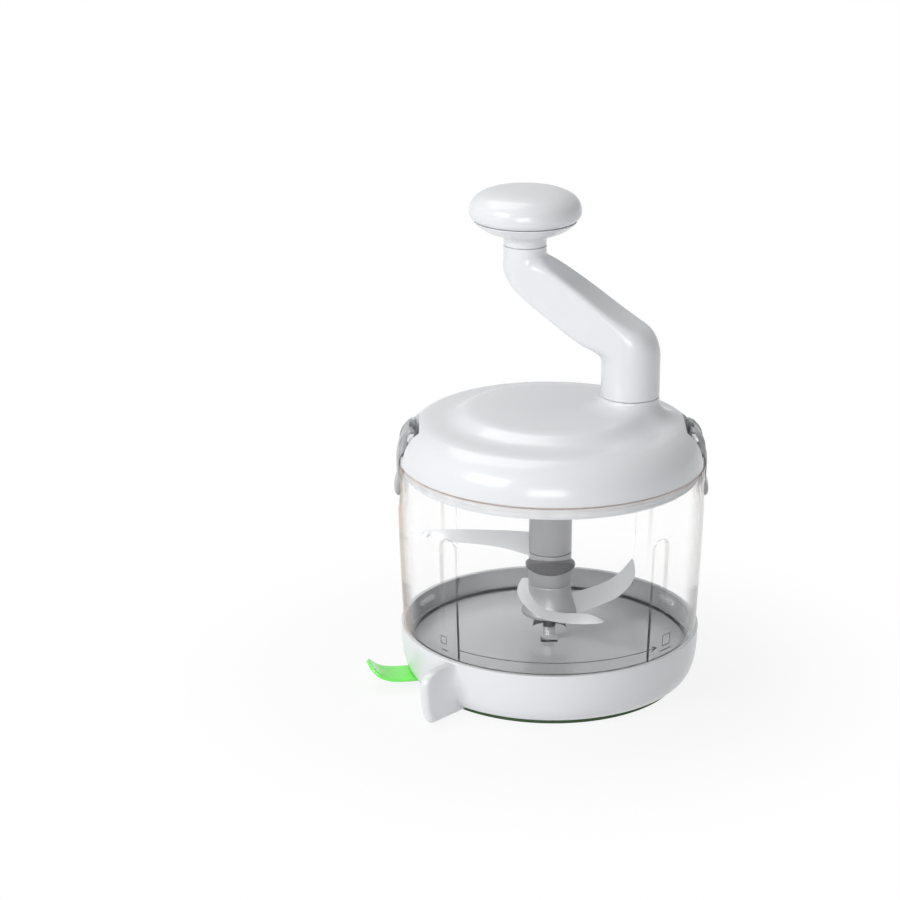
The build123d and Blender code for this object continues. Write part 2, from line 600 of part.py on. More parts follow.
def crank_arm():
    """Cranked arm: round foot over the collar, sloping beam, round head under the knob."""
    beam = loft([beam_section(2, 164.5, 26.4, 17.5), beam_section(26, 180.4, 24.2, 20.4),
                 beam_section(50, 196.3, 20.2, 20.0)])
    head = (CRANK_REACH, 0)
    body = beam + disc(CRANK_LOW_R, ARM_LOW_Z, 176) + disc(CRANK_TOP_R, 176, ARM_TOP_Z, head)
    outline = (Line((-14, 139), (14, 139)) + Line((14, 139), (14, 157.9)) + Line((14, 157.9), (54.0, 184.4))
               + ThreePointArc((54.0, 184.4), (60.2, 189.6), (62.8, 197.0)) + Line((62.8, 197.0), (62.8, 210))
               + Line((62.8, 210), (41, 210)) + Line((41, 210), (41, 200.2)) + Line((41, 200.2), (2.5, 174.6))
               + ThreePointArc((2.5, 174.6), (-9.3, 170.6), (-14, 160)) + Line((-14, 160), (-14, 139)))
    body &= extrude(LEAN * make_face(outline), amount=20, both=True)
    body -= disc(4.0, 130, 158.2)
    body -= disc(3.5, 190, 210, head)
    return Pos(CRANK_AXIS[0], CRANK_AXIS[1], 0) * (Rot(0, 0, CRANK_ANGLE) * body)


def knob_spindle():
    """Steel spindle in the head of the arm; its flange keeps the knob on."""
    return disc(3.5, 190.0, 226.0, KNOB_AXIS) + disc(6.0, 226.0, 227.6, KNOB_AXIS)


def knob_sleeve():
    """Plastic sleeve inside the knob that runs on the spindle."""
    body = disc(5.6, ARM_TOP_Z + SLIP, 225.0, KNOB_AXIS) + disc(7.4, 224.0, 225.6, KNOB_AXIS)
    return body - disc(3.5 + RUN, 200, 230, KNOB_AXIS)


def knob_cup():
    """Lower cup of the knob with its round neck."""
    profile = (Line((5.6, ARM_TOP_Z + SLIP), (10.0, ARM_TOP_Z + SLIP))
               + ThreePointArc((10.0, ARM_TOP_Z + SLIP), (10.1, 209.6), (11.6, 211.4))
               + ThreePointArc((11.6, 211.4), (19.2, 214.1), (24.4, 218.6))
               + Line((24.4, 218.6), (5.6, 218.6)) + Line((5.6, 218.6), (5.6, ARM_TOP_Z + SLIP)))
    return turned(profile, KNOB_AXIS)


def knob_cap():
    """Soft cap of the knob: a flattened ball with a hollow for the spindle head."""
    profile = (Line((5.6, 218.8), (24.6, 218.8)) + ThreePointArc((24.6, 218.8), (26.1, 220.8), (KNOB_R, 223.4))
               + Spline((KNOB_R, 223.4), (24.2, 229.0), (17.5, 232.6), (8.5, 234.0), (0, KNOB_TOP_Z),
                        tangents=[(0, 1), (-1, 0)])
               + Line((0, KNOB_TOP_Z), (0, 229.0)) + Line((0, 229.0), (8.0, 229.0))
               + Line((8.0, 229.0), (8.0, 223.6)) + Line((8.0, 223.6), (5.6, 223.6))
               + Line((5.6, 223.6), (5.6, 218.8)))
    return turned(profile, KNOB_AXIS)


def build():
    """Every piece of the chopper by name."""
    right = latch()
    lid = lid_moulding()
    return {
        "base_housing": base_housing(), "base_deck": base_deck(), "base_floor_plate": base_floor_plate(),
        "suction_pad": suction_pad(), "suction_plunger": suction_plunger(),
        "plunger_spring": plunger_spring(), "suction_lever": suction_lever(),
        "floor_screws": Compound(floor_screws()), "bowl": bowl(), "bowl_spindle": bowl_spindle(),
        "lid_shell": lid - collar_zone(), "lid_collar": lid & collar_zone(), "lid_underplate": lid_underplate(), "lid_gasket": lid_gasket(),
        "lid_screws": Compound(lid_screws()), "pinion_bush": pinion_bush(),
        "crank_foot_bush": crank_foot_bush(), "crank_bush": crank_bush(),
        "latch_pins": Compound(latch_pins()), "latch_right": right,
        "latch_left": Rot(0, 0, 180) * right, "hub_upper": hub_upper(), "hub_middle": hub_middle(),
        "hub_badge": hub_badge(), "hub_lower": hub_lower(), "hub_bushes": Compound(hub_bushes()),
        "upper_blade": upper_blade(), "lower_blade_side": lower_blade_side(),
        "lower_blade_front": lower_blade_front(), "drive_pinion": drive_pinion(),
        "crank_gear": crank_gear(), "crank_shaft": crank_shaft(), "gear_clip": gear_clip(),
        "crank_arm": crank_arm(), "knob_spindle": knob_spindle(), "knob_sleeve": knob_sleeve(),
        "knob_cup": knob_cup(), "knob_cap": knob_cap(),
    }


os.makedirs("parts", exist_ok=True)
for name, shape in build().items():
    export_step(shape, f"parts/{name}.step")
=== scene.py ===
"""Looks of a hand-cranked food chopper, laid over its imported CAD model.

Shapes are worked out in millimetres in the CAD's frame: +Z up along the bowl axis, -Y to the front
and the table at z = 0. A surface turns into metres when it becomes a mesh.
"""

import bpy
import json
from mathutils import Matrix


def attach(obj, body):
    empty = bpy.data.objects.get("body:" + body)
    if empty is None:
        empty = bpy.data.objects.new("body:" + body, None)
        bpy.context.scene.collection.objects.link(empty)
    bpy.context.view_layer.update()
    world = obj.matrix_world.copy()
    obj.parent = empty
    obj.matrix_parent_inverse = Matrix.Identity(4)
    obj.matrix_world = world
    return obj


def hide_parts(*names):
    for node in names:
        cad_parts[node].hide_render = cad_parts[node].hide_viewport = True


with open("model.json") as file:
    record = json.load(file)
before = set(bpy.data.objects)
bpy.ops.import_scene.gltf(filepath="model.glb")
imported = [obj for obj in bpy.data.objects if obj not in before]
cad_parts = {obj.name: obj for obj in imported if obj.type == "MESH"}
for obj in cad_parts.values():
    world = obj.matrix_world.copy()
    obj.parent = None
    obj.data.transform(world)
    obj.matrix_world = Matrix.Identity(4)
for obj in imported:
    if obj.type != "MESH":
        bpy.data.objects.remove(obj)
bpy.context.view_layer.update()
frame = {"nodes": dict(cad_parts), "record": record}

import json
import logging
import math
from dataclasses import dataclass
from enum import Enum
from typing import Any, Sequence, Union

import bpy
import numpy as np
from mathutils import Matrix, Vector

log = logging.getLogger("chopper")
Array = np.ndarray
Colour = tuple[float, float, float]
Point = tuple[float, float]

MM = 0.001
CRANK_SPOT = (36.629, 2.986)
CRANK_REACH = 52.5
CRANK_TURN = 160.0
KNOB_SPOT = (
    CRANK_SPOT[0] + CRANK_REACH * math.cos(math.radians(CRANK_TURN)),
    CRANK_SPOT[1] + CRANK_REACH * math.sin(math.radians(CRANK_TURN)),
)


class Side(Enum):
    """Which side of the bowl a latch sits on; the value is its turn about the bowl axis."""

    RIGHT = 0.0
    LEFT = 180.0


# Shader nodes -------------------------------------------------------------------------------


class Wire:
    """The output of a shader node, with arithmetic that adds Math nodes."""

    def __init__(self, net: "Net", socket: bpy.types.NodeSocket) -> None:
        """Keeps the net that the socket belongs to."""
        self.net = net
        self.socket = socket

    def _math(self, operation: str, first: "Value", second: "Value" = 0.0) -> "Wire":
        """Adds one Math node."""
        return self.net.node("ShaderNodeMath", {"operation": operation}, {0: first, 1: second})

    def apply(self, operation: str, other: "Value" = 0.0) -> "Wire":
        """Result of a named Math operation on this wire and a second value."""
        return self._math(operation, self, other)

    def __add__(self, other: "Value") -> "Wire":
        """Sum."""
        return self._math("ADD", self, other)

    __radd__ = __add__

    def __sub__(self, other: "Value") -> "Wire":
        """Difference."""
        return self._math("SUBTRACT", self, other)

    def __rsub__(self, other: "Value") -> "Wire":
        """Difference from a value on the left."""
        return self._math("SUBTRACT", other, self)

    def __mul__(self, other: "Value") -> "Wire":
        """Product."""
        return self._math("MULTIPLY", self, other)

    __rmul__ = __mul__

    def clear_of(self, low: float, high: float) -> "Wire":
        """Smooth step.

        Args:
            low: value below which the result is 0.
            high: value above which the result is 1.

        Returns:
            A wire that runs from 0 to 1 between the two.
        """
        settings = {"interpolation_type": "SMOOTHSTEP"}
        inputs = {"Value": self, "From Min": low, "From Max": high}
        return self.net.node("ShaderNodeMapRange", settings, inputs)


Value = Union[Wire, float]


class Net:
    """The node tree of one material."""

    def __init__(self, name: str) -> None:
        """Starts an empty tree."""
        self.material = bpy.data.materials.new(name)
        self.material.use_nodes = True
        self.tree = self.material.node_tree
        self.tree.nodes.clear()

    def node(
        self,
        kind: str,
        settings: dict[str, Any] | None = None,
        inputs: dict[Any, Any] | None = None,
        output: int = 0,
    ) -> Wire:
        """Adds a node.

        Args:
            kind: Blender's type name of the node.
            settings: properties of the node, set first.
            inputs: value or wire of each named or numbered socket.
            output: number of the output that is returned.

        Returns:
            The chosen output.
        """
        made = self.tree.nodes.new(kind)
        for key, value in (settings or {}).items():
            setattr(made, key, value)
        for key, value in (inputs or {}).items():
            if isinstance(value, Wire):
                self.tree.links.new(value.socket, made.inputs[key])
            else:
                made.inputs[key].default_value = value
        return Wire(self, made.outputs[output])

    def place(self, stretch: Colour = (1.0, 1.0, 1.0)) -> Wire:
        """Object coordinates, stretched along the three axes."""
        spot = self.node("ShaderNodeTexCoord", output=3)
        return self.node("ShaderNodeMapping", inputs={"Vector": spot, "Scale": stretch})

    def noise(self, place: Wire, size_mm: float, detail: float = 2.0) -> Wire:
        """Cloudy noise of about the given size, from 0 to 1."""
        inputs = {"Vector": place, "Scale": 1.0 / (size_mm * MM), "Detail": detail}
        return self.node("ShaderNodeTexNoise", inputs=inputs)

    def scaled(self, colour: Colour, factor: Wire) -> Wire:
        """A colour made lighter or darker by a factor."""
        return self.node("ShaderNodeVectorMath", {"operation": "SCALE"}, {0: colour, "Scale": factor})

    def mixed(self, factor: Value, first: Any, second: Any) -> Wire:
        """Mix of two colours or colour wires."""
        ends = [end if isinstance(end, Wire) else (*end, 1.0) for end in (first, second)]
        return self.node("ShaderNodeMix", {"data_type": "RGBA"}, {0: factor, 6: ends[0], 7: ends[1]}, 2)

    def height(self, place: Wire, axis: int) -> Wire:
        """One coordinate of a place, in metres."""
        return self.node("ShaderNodeSeparateXYZ", inputs={0: place}, output=axis)

    def bump(self, height: Wire, relief_mm: float) -> Wire:
        """Normal of a fine relief."""
        inputs = {"Height": height, "Strength": 1.0, "Distance": relief_mm * MM}
        return self.node("ShaderNodeBump", inputs=inputs)

    def surface(self, **inputs: Any) -> bpy.types.Material:
        """Closes the tree with a Principled shader.

        Args:
            inputs: sockets by name, with underscores for spaces.

        Returns:
            The finished material.
        """
        named = {key.replace("_", " "): value for key, value in inputs.items()}
        colour = named.get("Base Color")
        if isinstance(colour, tuple):
            named["Base Color"] = (*colour, 1.0)
        self.close(self.node("ShaderNodeBsdfPrincipled", inputs=named))
        return self.material

    def close(self, shader: Wire) -> None:
        """Joins a shader to the material output."""
        end = self.tree.nodes.new("ShaderNodeOutputMaterial")
        self.tree.links.new(shader.socket, end.inputs["Surface"])


# Finishes -----------------------------------------------------------------------------------


@dataclass(frozen=True)
class Moulding:
    """Moulded plastic: an even colour with faint clouding, a fine skin grain and a soft gloss."""

    name: str
    colour: Colour
    roughness: float = 0.22
    clouding: float = 0.012
    grain_mm: float = 0.7
    relief_mm: float = 0.0016
    metallic: float = 0.0
    coat: float = 0.25

    def material(self) -> bpy.types.Material:
        """Builds the material.

        Returns:
            A Principled material whose colour is clouded and whose skin is grained.
        """
        net = Net(self.name)
        place = net.place()
        cloud = net.noise(place, 22.0)
        grain = net.noise(place, self.grain_mm, 3.0)
        colour = net.scaled(self.colour, 1.0 - self.clouding + cloud * (2 * self.clouding))
        return net.surface(
            Base_Color=colour,
            Roughness=self.roughness + grain * 0.05,
            Metallic=self.metallic,
            Coat_Weight=self.coat,
            Coat_Roughness=0.08,
            Normal=net.bump(grain, self.relief_mm),
        )


@dataclass(frozen=True)
class ClearMoulding:
    """Clear plastic wall: open to the light face on, closing to a tinted edge at a glance, where the tint is
    painted refraction.
    """

    name: str
    body: Colour = (0.97, 0.965, 0.955)
    # Edge tints: painted refraction, the darkening and warm cast that stand in for light bent where the wall is
    # seen at a glance.
    warm_edge: Colour = (0.42, 0.27, 0.13)
    cool_edge: Colour = (0.74, 0.73, 0.71)
    inner_edge: Colour = (0.86, 0.85, 0.84)
    rim: Colour = (0.55, 0.33, 0.22)
    rib_line: Colour = (0.30, 0.26, 0.22)
    # Painted refraction line, brown, along the finger scoops' edges.
    scoop_line: Colour = (0.42, 0.24, 0.14)
    open_alpha: float = 0.015
    edge_alpha: float = 0.80
    rib_alpha: float = 0.28
    scoop_alpha: float = 0.5
    rim_alpha: float = 0.4
    rim_low_mm: float = 108.2
    rim_high_mm: float = 108.8
    edge_start: float = 0.60
    edge_full: float = 0.88
    inner_share: float = 0.3
    inner_r: float = 0.068
    wall_slope: float = 0.04
    rib_half: float = 0.0047
    rib_top: float = 0.081
    scoop_foot: float = 0.083
    scoop_roof: float = 0.1005
    scoop_rise: float = 0.009

    def material(self) -> bpy.types.Material:
        """Builds the material; the painted refraction at the wall's edges is warmer on the left.

        Returns:
            A Principled material whose alpha closes at the wall's edges, the ribs' and scoops' outlines
            and the rim.
        """
        net = Net(self.name)
        place = net.place()
        facing = net.node("ShaderNodeLayerWeight", inputs={"Blend": 0.5}, output=1)
        inside = self.inner_side(net, place)
        edge = facing.clear_of(self.edge_start, self.edge_full) * (1.0 - inside * (1 - self.inner_share))
        rim = net.height(place, 2).clear_of(self.rim_low_mm * MM, self.rim_high_mm * MM)
        warmth = net.height(place, 0).clear_of(-0.02, 0.03)
        # Painted refraction: the glancing edges take a tint, warm brown on the left, cool grey on the right and
        # pale on the inner side.
        tint = net.mixed(inside, net.mixed(warmth, self.warm_edge, self.cool_edge), self.inner_edge)
        rib = self.rib_outline(net, place) * inside
        scoop = self.scoop_outline(net, place)
        ribbed = net.mixed(rib, net.mixed(edge, self.body, tint), self.rib_line)
        # The scoops' outline is a painted refraction line.
        colour = net.mixed(scoop, ribbed, self.scoop_line)
        lines = rib * self.rib_alpha + scoop * self.scoop_alpha + rim * self.rim_alpha
        alpha = self.open_alpha + edge * self.edge_alpha + lines
        ripple = net.noise(place, 30.0)
        return net.surface(
            Base_Color=net.mixed(rim, colour, self.rim),
            Roughness=0.03 + ripple * 0.02,
            IOR=1.22,
            Alpha=alpha.apply("MINIMUM", 1.0),
            Transmission_Weight=0.55,
            Normal=net.bump(ripple, 0.01),
        )

    def inner_side(self, net: Net, place: Wire) -> Wire:
        """Tells the wall's inner side from its outer side, by the radius at each height.

        Args:
            net: the material's nodes.
            place: object coordinates.

        Returns:
            1 on the inner side and 0 on the outer side.
        """
        x, y, z = (net.height(place, axis) for axis in range(3))
        radius = (x * x + y * y).apply("SQRT") - z * self.wall_slope
        return 1.0 - radius.clear_of(self.inner_r - 0.0003, self.inner_r + 0.0002)

    def scoop_outline(self, net: Net, place: Wire) -> Wire:
        """Marks the finger scoops' edges with a painted refraction line: a band along the outline that widens
        from foot to roof.

        Args:
            net: the material's nodes.
            place: object coordinates.

        Returns:
            1 on the edges and 0 elsewhere.
        """
        x, y, z = (net.height(place, axis) for axis in range(3))
        rise = ((z - self.scoop_foot) * (1 / self.scoop_rise)).apply("MAXIMUM", 0.0).apply("MINIMUM", 1.0)
        half = 0.0036 + rise.apply("SQRT") * 0.0085
        band = 1.0 - (y.apply("ABSOLUTE") - half).apply("ABSOLUTE").clear_of(0.0003, 0.0011)
        below = 1.0 - z.clear_of(self.scoop_roof - 0.0002, self.scoop_roof + 0.0003)
        height = z.clear_of(self.scoop_foot, self.scoop_foot + 0.002) * below
        return band * height * x.apply("ABSOLUTE").clear_of(0.058, 0.060)

    def rib_outline(self, net: Net, place: Wire) -> Wire:
        """Marks the ribs' rounded edges, where thick clear plastic bends the light into a dark line.

        The arc length from the nearest rib and the height over the centre of its round top give a
        distance, and the mask is 1 in a narrow band round that distance's outline on the inner wall.

        Args:
            net: the material's nodes.
            place: object coordinates.

        Returns:
            1 on the edges, fading out towards the foot of the wall, and 0 elsewhere.
        """
        x, y, z = (net.height(place, axis) for axis in range(3))
        quarter = self.inner_r * math.pi / 4
        across = (y.apply("ARCTAN2", x) * self.inner_r - quarter).apply("PINGPONG", quarter)
        over = (z - self.rib_top).apply("MAXIMUM", 0.0)
        reach = (across * across + over * over).apply("SQRT")
        band = 1.0 - (reach - self.rib_half).apply("ABSOLUTE").clear_of(0.0001, 0.0006)
        return band * z.clear_of(0.028, 0.075)


@dataclass(frozen=True)
class Steel:
    """Ground sheet or turned steel with fine lines along one axis."""

    name: str
    colour: Colour = (0.80, 0.81, 0.82)
    roughness: float = 0.24
    lines: Colour = (1.0, 1.0, 12.0)
    relief_mm: float = 0.004
    metallic: float = 1.0

    def material(self) -> bpy.types.Material:
        """Builds the material."""
        net = Net(self.name)
        line = net.noise(net.place(self.lines), 1.6, 4.0)
        cloud = net.noise(net.place(), 14.0)
        return net.surface(
            Base_Color=net.scaled(self.colour, 0.97 + cloud * 0.05),
            Metallic=self.metallic,
            Roughness=self.roughness + line * 0.10,
            Normal=net.bump(line, self.relief_mm),
        )


@dataclass(frozen=True)
class Rubber:
    """Soft rubber: matte with a dusty grain."""

    name: str
    colour: Colour

    def material(self) -> bpy.types.Material:
        """Builds the material."""
        net = Net(self.name)
        place = net.place()
        dust = net.noise(place, 0.5, 4.0)
        return net.surface(
            Base_Color=net.scaled(self.colour, 0.85 + net.noise(place, 9.0) * 0.3),
            Roughness=0.55 + dust * 0.25,
            Normal=net.bump(dust, 0.02),
        )


Finish = Union[Moulding, ClearMoulding, Steel, Rubber]

WHITE = Moulding("white_gloss", (0.83, 0.84, 0.86))
LEVER_GREEN = Moulding("lever_green", (0.21, 0.93, 0.13), 0.24, 0.02, 1.6, 0.001, 0.0, 0.4)
LATCH_GREY = Moulding("latch_grey", (0.40, 0.41, 0.42), 0.34, 0.02, 0.5, 0.004)
HUB_GREY = Moulding("hub_grey", (0.42, 0.42, 0.425), 0.36, 0.02, 0.35, 0.004, 0.35, 0.1)
BADGE_GREY = Moulding("badge_grey", (0.12, 0.12, 0.125), 0.42, 0.03, 0.3, 0.003)
BADGE_RIM = Moulding("badge_rim", (0.20, 0.20, 0.205), 0.36, 0.02, 0.3, 0.002, 0.2)
ACETAL = Moulding("acetal", (0.70, 0.71, 0.70), 0.45, 0.02, 0.4, 0.004, 0.0, 0.0)
SEAL = Rubber("seal_white", (0.80, 0.81, 0.82))
# Painted shade: the suction foot is green rubber, coloured nearly black-green to match how it looks in the
# shadow under the base.
FOOT_RUBBER_SHADED = Rubber("foot_rubber", (0.030, 0.075, 0.022))
PRINT = Moulding("print_grey", (0.11, 0.10, 0.095), 0.5, 0.03, 0.2, 0.002, 0.0, 0.0)
CLEAR = ClearMoulding("clear_wall")
# Painted reflection: the blades are near-white and only partly metallic, so a diffuse brightness stands in for
# the bright surroundings that steel reflects.
BLADE_STEEL = Steel("blade_steel", (0.96, 0.965, 0.97), 0.34, (1.0, 1.0, 8.0), 0.002, 0.3)
PIN_STEEL = Steel("pin_steel")

SLOT_FINISH: dict[str, Finish] = {
    "white_plastic": WHITE,
    "clear_plastic": CLEAR,
    "green_plastic": LEVER_GREEN,
    "grey_latch": LATCH_GREY,
    "hub_grey": HUB_GREY,
    "dark_grey": BADGE_GREY,
    "black_rubber": FOOT_RUBBER_SHADED,
    "grey_seal": SEAL,
    "blade_steel": BLADE_STEEL,
    "pin_steel": PIN_STEEL,
    "inner_plastic": ACETAL,
}


class Paintbox:
    """Every finish as a material, built once."""

    def __init__(self) -> None:
        """Starts with nothing built."""
        self._built: dict[str, bpy.types.Material] = {}

    def get(self, finish: Finish) -> bpy.types.Material:
        """The material of a finish."""
        if finish.name not in self._built:
            self._built[finish.name] = finish.material()
        return self._built[finish.name]

    def dress_frame(self) -> int:
        """Gives every CAD node the finish of its material slot.

        Returns:
            How many nodes were dressed.
        """
        slots = {row["node"]: row["material_slot"] for row in frame["record"]["subparts"]}
        for name, node in frame["nodes"].items():
            material = self.get(SLOT_FINISH[slots[name]])
            for number in range(max(1, len(node.material_slots))):
                if node.material_slots:
                    node.material_slots[number].material = material
                else:
                    node.data.materials.append(material)
        return len(frame["nodes"])


# Surfaces -----------------------------------------------------------------------------------


def through(points: Sequence[Sequence[float]], count: int) -> Array:
    """Smooth curve through a few points.

    A natural cubic runs through the points over their chord length: its second derivatives solve the
    usual three-term system, and every sample is then a blend of its span's ends and their bends.

    Args:
        points: the points, in any number of dimensions.
        count: how many samples to return.

    Returns:
        The samples, evenly spaced along the chords.
    """
    knots = np.asarray(points, float)
    step = np.linalg.norm(np.diff(knots, axis=0), axis=1)
    along = np.concatenate(([0.0], np.cumsum(step)))
    inner = np.arange(1, len(along) - 1)
    system = np.eye(len(along))
    system[inner, inner - 1] = step[:-1]
    system[inner, inner] = 2 * (step[:-1] + step[1:])
    system[inner, inner + 1] = step[1:]
    load = np.zeros_like(knots)
    load[1:-1] = 6 * np.diff(np.diff(knots, axis=0) / step[:, None], axis=0)
    bend = np.linalg.solve(system, load)
    where = np.linspace(0, along[-1], count)
    span = np.clip(np.searchsorted(along, where, side="right") - 1, 0, len(step) - 1)
    width = step[span][:, None]
    first = (along[span + 1] - where)[:, None] / width
    second = 1 - first
    straight = first * knots[span] + second * knots[span + 1]
    return straight + ((first**3 - first) * bend[span] + (second**3 - second) * bend[span + 1]) * width**2 / 6


def eased(points: Sequence[Point], setback: float | Sequence[float], steps: int = 7) -> Array:
    """Straight-sided outline with rounded corners.

    Each inner corner becomes the parabola between the two points that lie the setback away from it.

    Args:
        points: corners of the outline, both ends included.
        setback: distance from each inner corner at which the rounding starts.
        steps: samples of each rounding.

    Returns:
        The outline's points.
    """
    knots = np.asarray(points, float)
    corner = knots[1:-1]
    reach = np.broadcast_to(np.asarray(setback, float), len(corner))[:, None]
    back, ahead = knots[:-2] - corner, knots[2:] - corner
    start = corner + back * reach / np.linalg.norm(back, axis=1, keepdims=True)
    end = corner + ahead * reach / np.linalg.norm(ahead, axis=1, keepdims=True)
    t = np.linspace(0, 1, steps)[None, :, None]
    arc = (1 - t) ** 2 * start[:, None] + 2 * t * (1 - t) * corner[:, None] + t**2 * end[:, None]
    return np.concatenate((knots[:1], arc.reshape(-1, 2), knots[-1:]))


def chain(*parts: Array) -> Array:
    """Joins runs of an outline end to end, without their doubled ends."""
    runs = [np.asarray(part, float) for part in parts]
    rest = [run[1:] if np.allclose(run[0], before[-1]) else run for before, run in zip(runs, runs[1:])]
    return np.concatenate([runs[0], *rest])


@dataclass(frozen=True)
class Surface:
    """Points in millimetres and four-cornered faces; a three-cornered face ends in -1."""

    points: Array
    faces: Array

    def __add__(self, other: "Surface") -> "Surface":
        """Both surfaces as one."""
        moved = np.where(other.faces < 0, -1, other.faces + len(self.points))
        return Surface(np.concatenate((self.points, other.points)), np.concatenate((self.faces, moved)))

    def spun(self, angle: float) -> "Surface":
        """The surface turned about the bowl axis, in degrees."""
        c, s = math.cos(math.radians(angle)), math.sin(math.radians(angle))
        turn = np.array([[c, s, 0.0], [-s, c, 0.0], [0.0, 0.0, 1.0]])
        return Surface(self.points @ turn, self.faces)

    def moved(self, x: float, y: float, z: float = 0.0) -> "Surface":
        """The surface moved without turning."""
        return Surface(self.points + np.array([x, y, z]), self.faces)

    def outward(self) -> "Surface":
        """The surface with its faces turned out: a closed one has a positive volume.

        Returns:
            The same surface, or the one with every face reversed where its volume was negative.
        """
        a, b, c = (self.points[self.faces[:, k]] for k in range(3))
        volume = np.einsum("ij,ij->i", a, np.cross(b, c)).sum()
        four = self.faces[:, 3] >= 0
        a, c, d = (self.points[self.faces[four][:, k]] for k in (0, 2, 3))
        volume += np.einsum("ij,ij->i", a, np.cross(c, d)).sum()
        if volume >= 0:
            return self
        three = self.faces[~four][:, [2, 1, 0, 3]]
        return Surface(self.points, np.concatenate((self.faces[four][:, ::-1], three)))

    def mesh(self, name: str, sharp: float = 38.0) -> bpy.types.Mesh:
        """Makes a Blender mesh in metres, smooth but for its sharp edges.

        Args:
            name: the mesh's name.
            sharp: angle past which an edge stays sharp, in degrees.

        Returns:
            The mesh.
        """
        shape = self.outward()
        four = shape.faces[:, 3] >= 0
        faces = shape.faces[four].tolist() + shape.faces[~four][:, :3].tolist()
        mesh = bpy.data.meshes.new(name)
        mesh.from_pydata((shape.points * MM).tolist(), [], faces)
        mesh.validate()
        smooth(mesh, sharp)
        return mesh


def joined(parts: Sequence[Surface]) -> Surface:
    """Several surfaces as one."""
    return sum(parts[1:], parts[0])


def smooth(mesh: bpy.types.Mesh, sharp: float) -> None:
    """Shades a mesh smooth and marks the edges that turn by more than an angle in degrees."""
    mesh.polygons.foreach_set("use_smooth", np.ones(len(mesh.polygons), bool))
    mesh.set_sharp_from_angle(angle=math.radians(sharp))
    mesh.update()


def skin(rings: Array, closed: bool = False, tips: tuple[Array, Array] | None = None) -> Surface:
    """Surface over a stack of closed rings.

    Four-cornered faces join each ring to the next. Unless the stack closes on itself, a fan to one
    point closes each end; that point is the ring's mean, or the tip given for it.

    Args:
        rings: array of (rows, columns, 3).
        closed: whether the last ring joins the first.
        tips: points that close the two ends.

    Returns:
        The closed surface.
    """
    rows, columns = rings.shape[:2]
    index = np.arange(rows * columns).reshape(rows, columns)
    beside = np.roll(index, -1, axis=1)
    above, above_beside = np.roll(index, -1, axis=0), np.roll(beside, -1, axis=0)
    last = rows if closed else rows - 1
    quads = np.stack((index, beside, above_beside, above), axis=-1)[:last].reshape(-1, 4)
    points = rings.reshape(-1, 3)
    if closed:
        return Surface(points, quads)
    ends = np.stack(tips) if tips is not None else np.stack((rings[0].mean(axis=0), rings[-1].mean(axis=0)))
    none = np.full(columns, -1)
    low = np.stack((beside[0], index[0], np.full(columns, len(points)), none), axis=-1)
    high = np.stack((index[-1], beside[-1], np.full(columns, len(points) + 1), none), axis=-1)
    return Surface(np.concatenate((points, ends)), np.concatenate((quads, low, high)))


def turned(profile: Array, steps: int = 192, spot: Point = (0.0, 0.0), closed: bool = False) -> Surface:
    """Surface of revolution about an upright axis.

    Every point (r, z) of the profile goes round the axis: x = r cos a, y = r sin a. An end that lies on
    the axis becomes the tip that closes it.

    Args:
        profile: points (r, z), from the underside round the outside to the top.
        steps: how many points go round.
        spot: where the axis stands.
        closed: whether the profile's last point joins its first.

    Returns:
        The surface.
    """
    angle = np.linspace(0, 2 * np.pi, steps, endpoint=False)
    around = np.stack((np.cos(angle), np.sin(angle)), axis=-1)
    outline = np.asarray(profile, float)
    tips = None
    if not closed:
        tips = tuple(np.array([spot[0], spot[1], end[1]]) for end in (outline[0], outline[-1]))
        outline = outline[outline[:, 0] > 1e-6]
    rings = np.empty((len(outline), steps, 3))
    rings[..., :2] = outline[:, 0, None, None] * around + np.array(spot)
    rings[..., 2] = outline[:, 1, None]
    return skin(rings, closed, tips)


def squircle(count: int, power: Array | float) -> tuple[Array, Array]:
    """Ring between a circle and a rounded rectangle.

    The two coordinates are the cosine and sine of an even turn, each raised to 2 / power with its sign
    kept: a power of 2 is a circle, and higher powers square the ring off.

    Args:
        count: points round the ring.
        power: one power, or one for each row as a column.

    Returns:
        The two coordinates, each within -1 and 1.
    """
    turn = np.linspace(0, 2 * np.pi, count, endpoint=False)
    c, s = np.cos(turn), np.sin(turn)
    share = 2.0 / np.asarray(power, float)
    return np.sign(c) * np.abs(c) ** share, np.sign(s) * np.abs(s) ** share


def ring_block(r_in: float, r_out: float, z: Point, start: float, end: float, steps: int = 24) -> Surface:
    """Closed piece of an upright tube.

    Args:
        r_in: inner radius.
        r_out: outer radius.
        z: lower and upper height.
        start: angle at which it begins, in degrees.
        end: angle at which it ends.
        steps: how many rings it has.

    Returns:
        The piece.
    """
    angle = np.radians(np.linspace(start, end, steps))[:, None]
    r = np.array([r_in, r_out, r_out, r_in])
    height = np.broadcast_to(np.array([z[0], z[0], z[1], z[1]]), (steps, 4))
    return skin(np.stack((r * np.cos(angle), r * np.sin(angle), height), axis=-1))


def block(x: Point, y: Point, z: Point) -> Surface:
    """Closed box between two corners."""
    ring = np.array([[x[0], y[0]], [x[1], y[0]], [x[1], y[1]], [x[0], y[1]]], float)
    rings = np.stack([np.column_stack((ring, np.full(4, level))) for level in z])
    return skin(rings)


